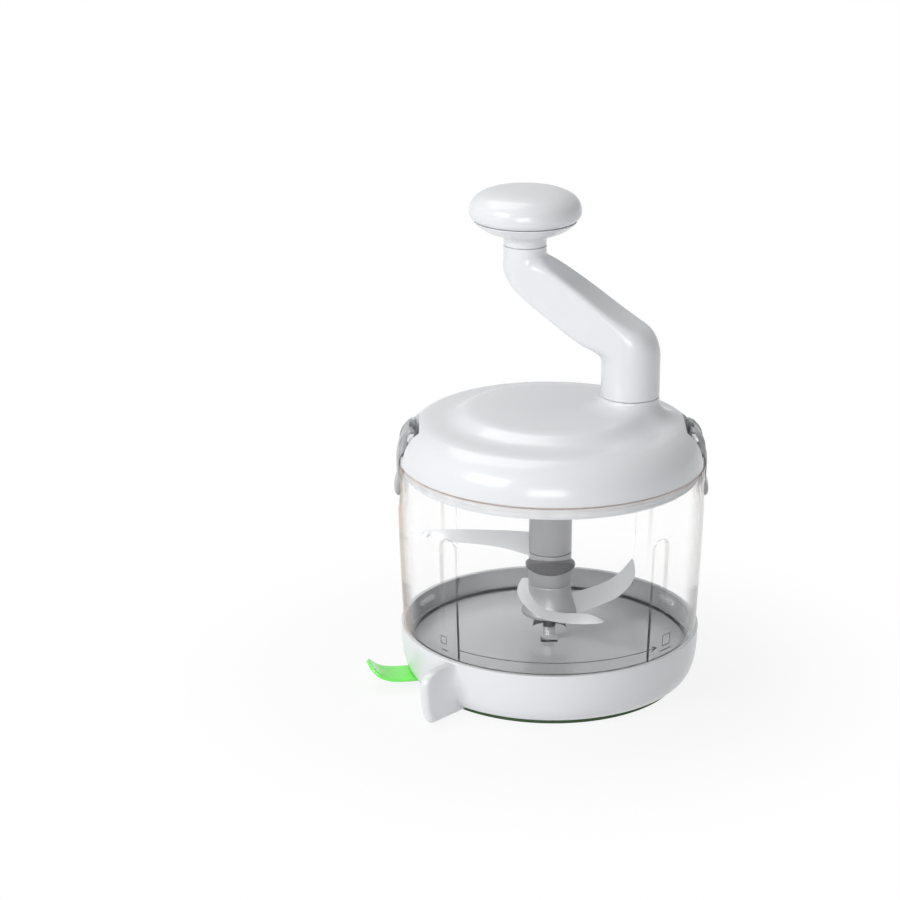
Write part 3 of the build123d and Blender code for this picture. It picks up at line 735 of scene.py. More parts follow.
class Workshop:
    """Puts surfaces into the scene as pieces that ride on the CAD bodies."""

    def __init__(self, paints: Paintbox) -> None:
        """Keeps the paints for the pieces."""
        self.paints = paints

    def add(
        self,
        name: str,
        surface: Surface,
        finish: Finish,
        body: str,
        stands_for: Sequence[str] = (),
        cutters: Sequence[Surface] = (),
        sharp: float = 38.0,
        slot: str | None = None,
    ) -> bpy.types.Object:
        """Adds one piece.

        Args:
            name: the piece's name.
            surface: its shape.
            finish: its finish.
            body: the CAD body it rides on.
            stands_for: CAD nodes that it replaces.
            cutters: closed surfaces that are cut out of it.
            sharp: angle past which an edge stays sharp, in degrees.
            slot: the record's material slot, where it isn't the finish's own; not used.

        Returns:
            The new object.
        """
        piece = bpy.data.objects.new(name, surface.mesh(name, sharp))
        bpy.context.scene.collection.objects.link(piece)
        piece.data.materials.append(self.paints.get(finish))
        for cutter in cutters:
            self._cut(piece, cutter, sharp)
        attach(piece, body)
        if stands_for:
            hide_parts(*stands_for)
        log.info("%s: %d faces on %s", name, len(piece.data.polygons), body)
        return piece

    def _cut(self, piece: bpy.types.Object, cutter: Surface, sharp: float) -> None:
        """Takes a cutter out of a piece and keeps the result as its mesh.

        Args:
            piece: the piece that is cut.
            cutter: closed surface that goes out of it.
            sharp: angle past which an edge stays sharp, in degrees.
        """
        tool = bpy.data.objects.new("cutter", cutter.mesh("cutter"))
        bpy.context.scene.collection.objects.link(tool)
        change = piece.modifiers.new("cut", "BOOLEAN")
        change.operation, change.solver, change.object = "DIFFERENCE", "EXACT", tool
        graph = bpy.context.evaluated_depsgraph_get()
        result = bpy.data.meshes.new_from_object(piece.evaluated_get(graph))
        piece.modifiers.clear()
        old = piece.data
        piece.data = result
        result.name = piece.name
        bpy.data.meshes.remove(old)
        bpy.data.objects.remove(tool)
        smooth(result, sharp)


# Sub-assemblies -----------------------------------------------------------------------------


@dataclass
class Knob:
    """Palm knob: a soft cap over a cup with a round neck."""

    shop: Workshop
    radius: float = 26.4
    top_z: float = 234.15
    neck_r: float = 10.0
    neck_z: float = 207.0

    def build(self) -> None:
        """Adds the cap, the cup and the dark seam between them."""
        crown = through([(self.radius, 223.4), (25.7, 226.7), (23.4, 229.7), (18.0, 232.4), (9.5, 233.8),
                         (3.0, self.top_z - 0.05)], 60)
        low = through([(23.9, 219.0), (25.4, 220.2), (26.2, 221.7), (self.radius, 223.4)], 20)
        brim = eased([(5.8, 218.85), (23.4, 218.85), (23.9, 219.0)], 0.3)
        cap = chain(brim, low, crown, [(0.0, self.top_z)])
        self.shop.add("knob_cap_round", turned(self._shut(cap), 192, KNOB_SPOT), WHITE, "knob", ["knob_cap"])
        flank = through([(self.neck_r + 0.1, 209.6), (11.3, 211.2), (15.0, 212.7), (20.0, 214.8),
                         (24.2, 218.2)], 36)
        cup = chain(eased([(0.0, self.neck_z), (self.neck_r, self.neck_z), (self.neck_r + 0.1, 209.6)], 0.35),
                    flank, eased([(24.2, 218.2), (24.2, 218.6), (0.0, 218.6)], 0.2))
        self.shop.add("knob_cup_round", turned(cup, 192, KNOB_SPOT), WHITE, "knob", ["knob_cup"])

    @staticmethod
    def _shut(profile: Array) -> Array:
        """Starts a profile on the axis at the height of its first point."""
        return np.concatenate(([[0.0, profile[0, 1]]], profile))


@dataclass
class CrankArm:
    """Cranked arm: round foot, sloping beam with a flat face, round head."""

    shop: Workshop
    foot_r: float = 13.8
    head_r: float = 10.15
    low_z: float = 139.25
    top_z: float = 206.6
    lip_inset: float = 0.35
    lip_rise: float = 0.12
    rows: int = 200
    columns: int = 128

    def stations(self) -> Array:
        """Rows of (outer x, outer z, inner x, inner z, half width, power) along the arm.

        The outer line runs under the beam on the knob's side and the inner line over it; x is counted
        from the crank axis towards the knob.
        """
        f, h, reach = self.foot_r, self.head_r, CRANK_REACH
        return np.array([
            (f, self.low_z, -f, self.low_z, f, 2.0),
            (f, 146.0, -f, 147.0, f, 2.0),
            (f, 152.0, -f, 155.5, f, 2.0),
            (f + 0.2, 156.4, -f + 0.6, 162.6, f - 0.1, 2.1),
            (f + 1.8, 159.4, -f + 4.2, 169.0, f - 0.3, 2.8),
            (f + 5.6, 162.0, -2.6, 173.4, f - 0.7, 4.4),
            (24.6, 165.2, 7.4, 179.0, 12.7, 6.6),
            (35.0, 172.1, 19.4, 187.0, 12.0, 7.6),
            (46.0, 179.4, 32.0, 195.2, 11.1, 7.0),
            (54.0, 184.8, 39.4, 200.0, 10.5, 4.8),
            (59.4, 189.6, 41.8, 201.9, h, 3.0),
            (reach + h - 0.2, 195.2, reach - h, 203.2, h, 2.2),
            (reach + h, 200.6, reach - h, 204.6, h, 2.0),
            (reach + h, self.top_z, reach - h, self.top_z, h, 2.0),
        ])

    def build(self) -> None:
        """Adds the arm.

        Every row is a ring whose first axis runs from the outer to the inner line and whose second is
        the arm's width; between circle and rounded rectangle the power of the ring changes.
        """
        run = through(self.stations(), self.rows)
        outer, inner = run[:, 0:2], run[:, 2:4]
        along, across = squircle(self.columns, np.clip(run[:, 5:6], 2.0, 9.0))
        centre, half = (outer + inner) / 2, (inner - outer) / 2
        flat = centre[:, None] + half[:, None] * along[..., None]
        rings = np.stack((flat[..., 0], run[:, 4:5] * across, flat[..., 1]), axis=-1)
        foot, head = self._lip(rings[0], -self.lip_rise), self._lip(rings[-1], self.lip_rise)
        rings = np.concatenate((foot, rings, head))
        arm = skin(rings).spun(CRANK_TURN).moved(*CRANK_SPOT)
        self.shop.add("crank_arm_smooth", arm, WHITE, "crank", ["crank_arm"], sharp=50.0)

    def _lip(self, ring: Array, rise: float) -> Array:
        """Draws a ring in a little, just beyond an end of the arm.

        Args:
            ring: the arm's end ring.
            rise: how far above it the lip lies.

        Returns:
            A stack of that one ring.
        """
        centre = ring.mean(axis=0)
        spread = np.linalg.norm(ring - centre, axis=1, keepdims=True)
        drawn = centre + (ring - centre) * (spread - self.lip_inset) / spread
        return (drawn + np.array([0.0, 0.0, rise]))[None]


@dataclass
class Lid:
    """White lid: dome, raised plateau, crank collar with a hollow flare, skirt, latch recesses."""

    shop: Workshop
    radius: float = 72.0
    seam_z: float = 109.05
    collar_r: float = 13.8
    collar_z: float = 138.75
    flare: float = 11.5
    join_r: float = 62.0
    columns: int = 300

    def crown(self, radius: Array) -> Array:
        """Height of the dome at a distance from the lid's axis.

        Straight interpolation in a finely sampled smooth curve through the dome's measured points.

        Args:
            radius: distances from the axis.

        Returns:
            The heights.
        """
        line = through([(0.0, 134.0), (20.0, 134.0), (34.0, 133.95), (38.6, 133.7), (41.4, 132.9),
                        (44.0, 131.3), (47.0, 129.7), (51.0, 128.85), (55.0, 128.7), (58.5, 128.45),
                        (self.join_r, 127.45), (65.2, 125.4)], 800)
        return np.interp(radius, line[:, 0], line[:, 1])

    def top(self) -> Array:
        """Rings from the collar's mouth out to the dome's shoulder.

        Ring t is a circle whose centre slides from the crank axis to the lid axis while its radius grows
        from the collar's to the join. A point's height is the crown's, lifted by a quarter-round hollow
        that falls from the collar's top to nothing across the flare.

        Returns:
            The rings, row by row.
        """
        t = (np.linspace(0, 1, 170) ** 1.35)[:, None]
        turn = np.linspace(0, 2 * np.pi, self.columns, endpoint=False)
        radius = self.collar_r + (self.join_r - self.collar_r) * t
        x = CRANK_SPOT[0] * (1 - t) + radius * np.cos(turn)
        y = CRANK_SPOT[1] * (1 - t) + radius * np.sin(turn)
        ground = self.crown(np.hypot(x, y))
        away = np.clip((np.hypot(x - CRANK_SPOT[0], y - CRANK_SPOT[1]) - self.collar_r) / self.flare, 0, 1)
        lift = 1 - np.sqrt(np.clip(1 - (1 - away) ** 2, 0, 1))
        return np.stack((x, y, ground + (self.collar_z - 0.4 - ground) * lift), axis=-1)

    def rings(self, profile: Array, spot: Point) -> Array:
        """Turns a profile about an axis, with the lid's number of columns.

        Args:
            profile: points (r, z).
            spot: where the axis stands.

        Returns:
            One ring for each point.
        """
        turn = np.linspace(0, 2 * np.pi, self.columns, endpoint=False)
        around = np.stack((np.cos(turn), np.sin(turn)), axis=-1)
        rings = np.empty((len(profile), self.columns, 3))
        rings[..., :2] = profile[:, 0, None, None] * around + np.array(spot)
        rings[..., 2] = profile[:, 1, None]
        return rings

    @staticmethod
    def recess(side: Side) -> Surface:
        """Cutter of a latch recess, a little longer towards the front than towards the back.

        Args:
            side: the latch's side of the bowl.

        Returns:
            The cutter.
        """
        front = 16.2 if side is Side.RIGHT else 13.2
        return block((62.2, 90.0), (-front, 29.4 - front), (113.0, 150.0)).spun(side.value)

    def build(self) -> None:
        """Adds the shell and the hinge posts in its recesses."""
        mouth = np.array([(8.8, 138.2), (8.8, self.collar_z - 0.1), (8.9, self.collar_z),
                          (self.collar_r - 0.5, self.collar_z), (self.collar_r - 0.15, self.collar_z - 0.12)])
        shoulder = through([(self.join_r, 127.45), (65.2, 125.4), (67.6, 122.9), (69.6, 119.9), (71.1, 116.0),
                            (71.8, 112.4), (self.radius, self.seam_z + 0.5)], 60)[1:]
        skirt = eased([(self.radius, self.seam_z + 0.5), (self.radius, self.seam_z), (69.5, self.seam_z),
                       (69.5, 102.6), (67.2, 102.6), (67.2, 111.2), (59.4, 111.2), (59.4, 116.0),
                       (30.0, 116.0)], [0.3, 0.05, 0.5, 0.3, 0.05, 0.05, 0.05])[1:]
        outside = self.rings(np.concatenate((shoulder, skirt)), (0.0, 0.0))
        shell = skin(np.concatenate((self.rings(mouth, CRANK_SPOT), self.top(), outside)))
        cutters = [self.recess(side) for side in Side]
        self.shop.add("lid_shell_smooth", shell, WHITE, "bowl", ["lid_shell", "lid_collar"], cutters, 34.0)
        posts = [self.post(hand).spun(side.value) for side in Side for hand in (-1, 1)]
        self.shop.add("lid_hinge_posts", joined(posts), WHITE, "bowl")

    def post(self, hand: int) -> Surface:
        """Rounded lug that holds one end of a latch pin, on the right-hand side.

        Args:
            hand: -1 for the front end of the pin and 1 for its back end.

        Returns:
            The lug.
        """
        turn = np.linspace(-np.pi / 2, np.pi / 2, 16)
        tip = np.stack((66.0 + 1.3 * np.cos(turn), 122.0 + 2.5 * np.sin(turn)), axis=-1)
        outline = np.concatenate(([[64.7, 113.0]], tip, [[64.7, 124.5]]))
        y = hand * 12.9 + np.array([-0.95, -0.75, 0.75, 0.95])
        inset = np.array([0.95, 1.0, 1.0, 0.95])
        centre = np.array([65.6, 120.0])
        flat = centre + (outline - centre) * inset[:, None, None]
        rings = np.stack((flat[..., 0], np.broadcast_to(y[:, None], flat.shape[:2]), flat[..., 1]), axis=-1)
        return skin(rings)


@dataclass
class Bowl:
    """Clear bowl: bellied wall with ribs and finger scoops, floor with its post, printed lock marks."""

    shop: Workshop
    wall: float = 2.6
    floor_z: float = 21.0
    rim_z: float = 108.85
    rib_top: float = 86.0
    rib_half: float = 5.0
    rib_height: float = 2.2
    scoop_depth: float = 3.0
    inner_r: float = 68.0
    scoop_r: float = 71.5
    print_r: float = 70.4

    def outside(self, height: Array) -> Array:
        """Radius of the outer wall, along the smooth curve through the measured radii.

        Args:
            height: heights above the table.

        Returns:
            The radii.
        """
        line = through([(27.6, 70.1), (62.0, 71.7), (84.0, 72.4), (self.rim_z, 72.6)], 200)
        return np.interp(height, line[:, 0], line[:, 1])

    def angles(self) -> Array:
        """Angles round the wall in radians, closer together at the ribs and the scoops."""
        even = np.linspace(0, 2 * np.pi, 240, endpoint=False)
        edge = np.concatenate((np.linspace(-6.0, -3.2, 12), np.linspace(3.2, 6.0, 12)))
        ribs = np.radians(np.array([45, 135, 225, 315])[:, None] + edge).ravel()
        scoops = np.radians(np.array([0, 180])[:, None] + np.linspace(-13, 13, 48)).ravel()
        return np.unique(np.mod(np.concatenate((even, ribs, scoops)), 2 * np.pi).round(5))

    def scoop(self, angle: Array, height: Array) -> Array:
        """Depth of the finger scoops, from 0 to 1.

        Across, the scoop is as wide as the latch at its roof and narrows to a point at its foot; up the
        wall it starts at nothing, and its roof is an abrupt ledge.

        Args:
            angle: angles round the wall.
            height: heights above the table.

        Returns:
            The share of the full depth at each angle and height.
        """
        across = np.abs(np.sin(angle)) * self.scoop_r + np.where(np.abs(np.cos(angle)) < 0.7, 99.0, 0.0)
        rise = np.clip((height - 83.0) / 9.0, 0, 1)
        half = 4.0 + 8.5 * np.sqrt(rise)
        side = np.clip((half - across) / 2.2, 0, 1)
        roof = np.clip((100.4 - height) / 0.5, 0, 1)
        soft = side * side * (3 - 2 * side)
        return soft * np.sin(rise * np.pi / 2) * roof

    def rib(self, angle: Array, height: Array) -> Array:
        """How far a rib stands on the inner wall, from 0 to 1: an upright bar with a round top.

        Args:
            angle: angles round the wall.
            height: heights above the table.

        Returns:
            The share of the rib's full height at each angle and height.
        """
        from_rib = np.abs(np.mod(np.degrees(angle) + 45.0 + 45.0, 90.0) - 45.0)
        across = np.radians(from_rib) * self.inner_r
        over = np.clip(height - (self.rib_top - self.rib_half), 0, None)
        reach = np.hypot(across, over)
        edge = np.clip((self.rib_half - reach) / 0.7, 0, 1)
        return edge * edge * (3 - 2 * edge)

    def build(self) -> None:
        """Adds the bowl as one closed wall and the marks printed on it."""
        turn = self.angles()[None]
        up = np.unique(np.concatenate((np.linspace(27.6, self.rim_z - 0.4, 62), np.linspace(80, 87, 26),
                                       [99.4, 99.9, 100.1, 100.25, 100.4, 100.6])))[:, None]
        outer = self.outside(up) - self.scoop_depth * self.scoop(turn, up)
        inner = self.outside(up) - self.wall - self.rib_height * self.rib(turn, up)
        inner = np.minimum(inner, outer - 1.6)
        foot = [(2.9, 18.7), (12.0, 18.7), (40.0, 18.7), (65.3, 18.7), (65.3, 17.0), (68.55, 17.0),
                (68.55, 27.5)]
        under = self._rows(foot, turn)
        rim_r = self.outside(self.rim_z)
        lip = self._rows([(rim_r - 0.1, self.rim_z - 0.1), (rim_r - 0.4, self.rim_z),
                          (rim_r - self.wall + 0.4, self.rim_z)], turn)
        deep = [(66.4, 24.0), (65.2, 22.3), (63.6, 21.4), (61.6, self.floor_z), (40.0, self.floor_z),
                (9.6, self.floor_z), (8.6, 21.6), (6.9, 28.4), (6.2, 29.0), (3.1, 29.0)]
        stack = np.concatenate((under, self._wall(outer, up, turn), lip, self._wall(inner, up, turn)[::-1],
                                self._rows(deep, turn)))
        self.shop.add("bowl_clear", skin(stack, closed=True), CLEAR, "bowl", ["bowl"], sharp=32.0)
        self.marks()

    @staticmethod
    def _wall(radius: Array, height: Array, turn: Array) -> Array:
        """Rings of a wall whose radius is known at every angle and height."""
        level = np.broadcast_to(height, radius.shape)
        return np.stack((radius * np.cos(turn), radius * np.sin(turn), level), axis=-1)

    def _rows(self, profile: Sequence[Point], turn: Array) -> Array:
        """Rings of a plain profile at the wall's own angles."""
        line = np.array(profile, float)
        return self._wall(np.broadcast_to(line[:, :1], (len(line), turn.size)), line[:, 1:], turn)

    def stripe(self, start: Point, end: Point, width: float) -> Surface:
        """Thin printed line on the outer wall between two (angle, height) points.

        The line is a straight run in the unrolled wall, widened square to itself, and lies a few
        hundredths of a millimetre proud of the wall.

        Args:
            start: where it begins.
            end: where it ends.
            width: how broad it is.

        Returns:
            The line's surface.
        """
        t = np.linspace(0, 1, 40)[:, None]
        run = np.array([[start[0], start[1]]]) * (1 - t) + np.array([[end[0], end[1]]]) * t
        arc = np.radians(run[:, 0]) * self.print_r
        way = np.array([arc[-1] - arc[0], run[-1, 1] - run[0, 1]])
        way = way / np.linalg.norm(way)
        offset = np.array([[-1.0, 1.0, 1.0, -1.0]]) * width / 2
        place, height = arc[:, None] - way[1] * offset, run[:, 1:] + way[0] * offset
        radius = self.outside(height) + np.array([[0.0, 0.0, 0.05, 0.05]])
        angle = place / self.print_r
        return skin(np.stack((radius * np.cos(angle), radius * np.sin(angle), height), axis=-1))

    def square(self, angle: float, low: float, size: float, width: float) -> Surface:
        """Printed outline of a square.

        Args:
            angle: where its left side stands.
            low: height of its lower side.
            size: length of a side.
            width: how broad the line is.

        Returns:
            The four lines.
        """
        turn = math.degrees(size / self.print_r)
        a, b, high = angle, angle + turn, low + size
        sides = [((a, low), (b, low)), ((a, high), (b, high)), ((a, low), (a, high)), ((b, low), (b, high))]
        return joined([self.stripe(start, end, width) for start, end in sides])

    def marks(self) -> None:
        """Adds the lock marks: a long arrow along the foot of the front, and two squares over dashes."""
        shaft = self.stripe((-129.0, 33.7), (-48.0, 33.7), 0.42)
        head = [self.stripe((-50.2, 33.7 + rise), (-50.2 + 2.6, 33.7), 0.55) for rise in (-1.2, 1.2)]
        locked = [self.square(-44.3, 33.4, 5.2, 0.42), self.stripe((-45.4, 31.1), (-38.9, 31.1), 0.55)]
        opened = [self.square(-137.4, 34.6, 3.6, 0.36), self.stripe((-137.2, 31.4), (-134.0, 31.4), 0.5)]
        marks = joined([shaft, *head, *locked, *opened])
        self.shop.add("bowl_lock_marks", marks, PRINT, "bowl", slot="clear_plastic")


@dataclass
class Base:
    """White base: bellied wall, deck, lever slot, lugs, finger tab and the rubber foot."""

    shop: Workshop
    rim_z: float = 27.25
    deck_z: float = 16.5
    tab_angle: float = 228.0
    tab_low: float = 1.3
    tab_top: float = 26.5
    tab_half: float = 2.5
    tab_round: float = 1.2
    flare_half: float = 5.6

    def build(self) -> None:
        """Adds the housing, the tab and the foot."""
        outer = through([(62.3, 1.7), (65.2, 3.1), (67.5, 5.4), (69.6, 10.0), (70.7, 16.0), (71.15, 22.0),
                         (71.2, 26.8)], 70)
        inner = through([(66.4, 14.3), (65.4, 9.0), (63.6, 5.4), (61.2, 3.0)], 20)
        rim = eased([(71.2, 26.8), (71.2, self.rim_z), (68.95, self.rim_z), (68.95, self.deck_z),
                     (0.0, self.deck_z)], [0.25, 0.3, 0.6])
        under = chain([(0.0, 14.3), (40.0, 14.3), (66.4, 14.3)], inner, [(61.2, 3.0), (61.2, 1.7)])
        shell = turned(np.concatenate((under, chain(outer, rim))), 256)
        slot, socket = ring_block(58, 76, (4.0, 6.8), 184.4, 226.6), block((-4.1, 4.1), (-4.1, 4.1), (10, 20))
        self.shop.add("base_shell_smooth", shell, WHITE, "base", ["base_housing", "base_deck"], [slot, socket],
                      34.0)
        lugs = [ring_block(67.5, 69.2, (22.2, 24.0), angle - 5, angle + 5) for angle in (30, 150, 270)]
        self.shop.add("base_lugs", joined(lugs), WHITE, "base")
        self.shop.add("base_finger_tab", self.tab(), WHITE, "base", sharp=60.0)
        pad = eased([(0.0, 0.0), (62.25, 0.0), (62.25, 1.6), (0.0, 1.6)], [0.4, 0.3])
        bead = chain([(50.0, 1.6), (53.0, 1.6), (53.0, 3.3), (50.0, 3.3)])
        foot = turned(pad, 192) + turned(bead, 128, closed=True)
        boss = turned(np.array([(0.0, 1.65), (12.0, 1.65), (12.0, 4.9), (6.6, 4.9), (6.6, 3.7), (10.3, 3.7),
                                (10.3, 1.8), (0.0, 1.8)]), 96)
        self.shop.add("suction_foot", foot + boss, FOOT_RUBBER_SHADED, "base", ["suction_pad"])

    def tab(self) -> Surface:
        """Upright tab with a soft root.

        Level slices are stacked from the bottom up. A slice is a thin bar along the radius: its tip is
        half round and its root widens towards the wall by an exponential flare, which grows over the
        lever's height and fades out at the rim. The lowest and topmost slices draw in along a quarter round.

        Returns:
            The tab, in its place.
        """
        rows, soft_rows, points = 60, 6, 48
        shoulder = self.tab_top - self.tab_round
        foot = np.sin(np.linspace(0.15, np.pi / 2, soft_rows))
        lift = np.radians(np.linspace(0, 90, 8))[1:]
        draw = self.tab_round * np.concatenate((1 - foot, np.zeros(rows - soft_rows), 1 - np.cos(lift)))
        z = np.linspace(self.tab_low, shoulder, rows)
        z = np.concatenate((z, shoulder + self.tab_round * np.sin(lift)))
        line = through([(1.2, 86.6), (5.0, 88.2), (11.0, 89.7), (17.0, 90.4), (20.5, 90.4), (23.0, 89.6),
                        (25.2, 87.4), (26.5, 84.0)], 120)
        tip = np.interp(z, line[:, 0], line[:, 1]) - draw
        shell = through([(1.7, 62.3), (5.4, 67.2), (10.0, 69.3), (16.0, 70.2), (27.0, 70.2)], 80)
        root = np.interp(z, shell[:, 0], shell[:, 1]) - 1.2
        half = self.tab_half - draw
        share = np.linspace(0, 1, points) ** 1.3
        u = root[:, None] + (tip - half - root)[:, None] * share
        grown = np.clip((z - 7.4) / 9.0, 0, 1) * np.sqrt(np.clip((self.tab_top + 0.05 - z) / 7.0, 0, 1))
        flare = self.flare_half * grown[:, None] * np.exp(-(u - root[:, None] - 0.9) / 2.3)
        v = half[:, None] + np.clip(flare, 0, 6.0)
        turn = np.linspace(np.pi / 2, -np.pi / 2, 14)[1:-1]
        nose_u = (tip - half)[:, None] + half[:, None] * np.cos(turn)
        nose_v = half[:, None] * np.sin(turn)
        along = np.concatenate((u, nose_u, u[:, ::-1]), axis=1)
        across = np.concatenate((v, nose_v, -v[:, ::-1]), axis=1)
        rings = np.stack((along, across, np.broadcast_to(z[:, None], along.shape)), axis=-1)
        return skin(rings).spun(self.tab_angle)


@dataclass
class Lever:
    """Green lever: flat ring under the deck and a tongue that curls up at its tip."""

    shop: Workshop
    angle: float = 193.0
    thickness: float = 2.1
    half_width: float = 8.5
    corner: float = 2.6

    def build(self) -> None:
        """Adds the ring, its three ramps and the tongue."""
        ring = turned(np.array([(16.0, 4.35), (48.0, 4.35), (48.0, 6.35), (16.0, 6.35)]), 160, closed=True)
        ramps = [self.ramp().spun(spot) for spot in (0, 120, 240)]
        body = joined([ring, *ramps, self.tongue().spun(self.angle)])
        self.shop.add("lever_green", body, LEVER_GREEN, "lever", ["suction_lever"], sharp=44.0)

    def ramp(self) -> Surface:
        """One ramp of the ring, a wedge beside a plunger arm."""
        side = np.array([(-2.6, 6.3), (-11.4, 9.35), (-13.3, 9.35), (-14.8, 6.3)])
        rings = np.stack([np.column_stack((np.full(4, x), side)) for x in (18.5, 22.5)])
        return skin(rings)

    def tongue(self) -> Surface:
        """The tongue.

        A middle line runs out level and curls up; each station carries a thin rounded bar square to the
        line. Towards the tip the bar narrows as a quarter of a rounded square, so the corners are round.

        Returns:
            The tongue along the x axis.
        """
        line = through([(44.0, 5.35), (60.0, 5.35), (74.0, 5.36), (80.0, 6.2), (84.6, 8.3), (88.7, 12.3)], 120)
        way = np.gradient(line, axis=0)
        way /= np.linalg.norm(way, axis=1, keepdims=True)
        normal = np.stack((-way[:, 1], way[:, 0]), axis=-1)
        walked = np.concatenate(([0.0], np.cumsum(np.linalg.norm(np.diff(line, axis=0), axis=1))))
        left = np.clip((walked[-1] - walked) / 6.5, 0, 1)
        width = self.half_width * (0.16 + 0.84 * (1 - (1 - left) ** self.corner) ** (1 / self.corner))
        thick = self.thickness / 2 * (0.55 + 0.45 * np.clip((walked[-1] - walked) / 1.0, 0, 1) ** 0.5)
        up, side = squircle(64, 5.0)
        place = line[:, None] + normal[:, None] * (thick[:, None, None] * up[None, :, None])
        rings = np.stack((place[..., 0], width[:, None] * side, place[..., 1]), axis=-1)
        return skin(rings)


@dataclass
class Latch:
    """Side latch: a curved cover over the lid's shoulder, with ears on the pin, a hook and a thumb lobe."""

    shop: Workshop
    side: Side
    half_width: float = 11.4
    bend_r: float = 72.0
    ear_y: float = 6.5
    pin_x: float = 66.5
    pin_z: float = 122.0

    def build(self) -> None:
        """Adds the latch."""
        body = joined([self.cover(), self.ear(-self.ear_y), self.ear(self.ear_y), self.hook()])
        name = self.side.name.lower()
        node = f"latch_{name}"
        self.shop.add(f"latch_cover_{name}", body.spun(self.side.value), LATCH_GREY, node, [node], sharp=46.0)

    def cover(self) -> Surface:
        """The cover.

        Two lines, outer and inner, bound the cover seen from its edge. Each station is a rounded bar
        between them, the width draws in at both ends for round corners, and the whole bends round the lid.

        Returns:
            The cover on the right-hand side.
        """
        outer = through([(67.2, 125.3), (69.3, 123.0), (71.0, 119.7), (72.2, 116.2), (72.95, 112.4),
                         (73.15, 108.0), (73.0, 103.6), (73.2, 100.6), (73.9, 98.2), (74.2, 96.0),
                         (73.9, 94.0), (72.8, 92.7)], 140)
        inner = through([(66.8, 124.9), (67.0, 122.0), (67.5, 118.9), (68.6, 116.0), (71.6, 112.9),
                         (72.4, 108.0), (72.4, 103.6), (72.0, 100.4), (70.9, 98.2), (70.5, 96.0),
                         (70.8, 94.0), (71.8, 92.9)], 140)
        middle, half = (outer + inner) / 2, (outer - inner) / 2
        walked = np.concatenate(([0.0], np.cumsum(np.linalg.norm(np.diff(middle, axis=0), axis=1))))
        top, foot = np.clip(walked / 13.0, 0, 1), np.clip((walked[-1] - walked) / 4.5, 0, 1)
        shoulder = 0.50 + 0.50 * np.sin(top * np.pi / 2)
        width = self.half_width * shoulder * (0.62 + 0.38 * np.sqrt(1 - (1 - foot) ** 2))
        deep, side = squircle(72, 5.5)
        place = middle[:, None] + half[:, None] * deep[None, :, None]
        across = width[:, None] * side
        bent = place[..., 0] - across**2 / (2 * self.bend_r)
        return skin(np.stack((bent, across, place[..., 1]), axis=-1))

    def ear(self, y: float) -> Surface:
        """Ear round the hinge pin, a rounded plate that joins the cover.

        Args:
            y: how far along the pin it stands.

        Returns:
            The ear on the right-hand side.
        """
        outline = through([(-2.3, -1.2), (-0.6, -2.7), (2.2, -3.6), (4.9, -5.2), (4.3, -1.0), (2.2, 2.0),
                           (0.1, 3.7), (-1.8, 2.4), (-2.4, 0.6), (-2.3, -1.2)], 49)[:-1]
        thick = np.array([-1.2, -1.05, 1.05, 1.2])
        size = np.array([0.94, 1.0, 1.0, 0.94])[:, None, None]
        flat = outline[None] * size + np.array([self.pin_x, self.pin_z])
        level = np.broadcast_to((y + thick)[:, None], flat.shape[:2])
        rings = np.stack((flat[..., 0], level, flat[..., 1]), axis=-1)
        return skin(rings)

    def hook(self) -> Surface:
        """Ridge on the cover's inside that catches under the bowl's ledge."""
        side = np.array([(72.6, 97.6), (70.6, 97.9), (70.25, 98.6), (70.6, 99.4), (72.6, 99.6)])
        rings = np.stack([np.column_stack((side[:, 0], np.full(5, y), side[:, 1])) for y in (-9.0, 9.0)])
        return skin(rings)


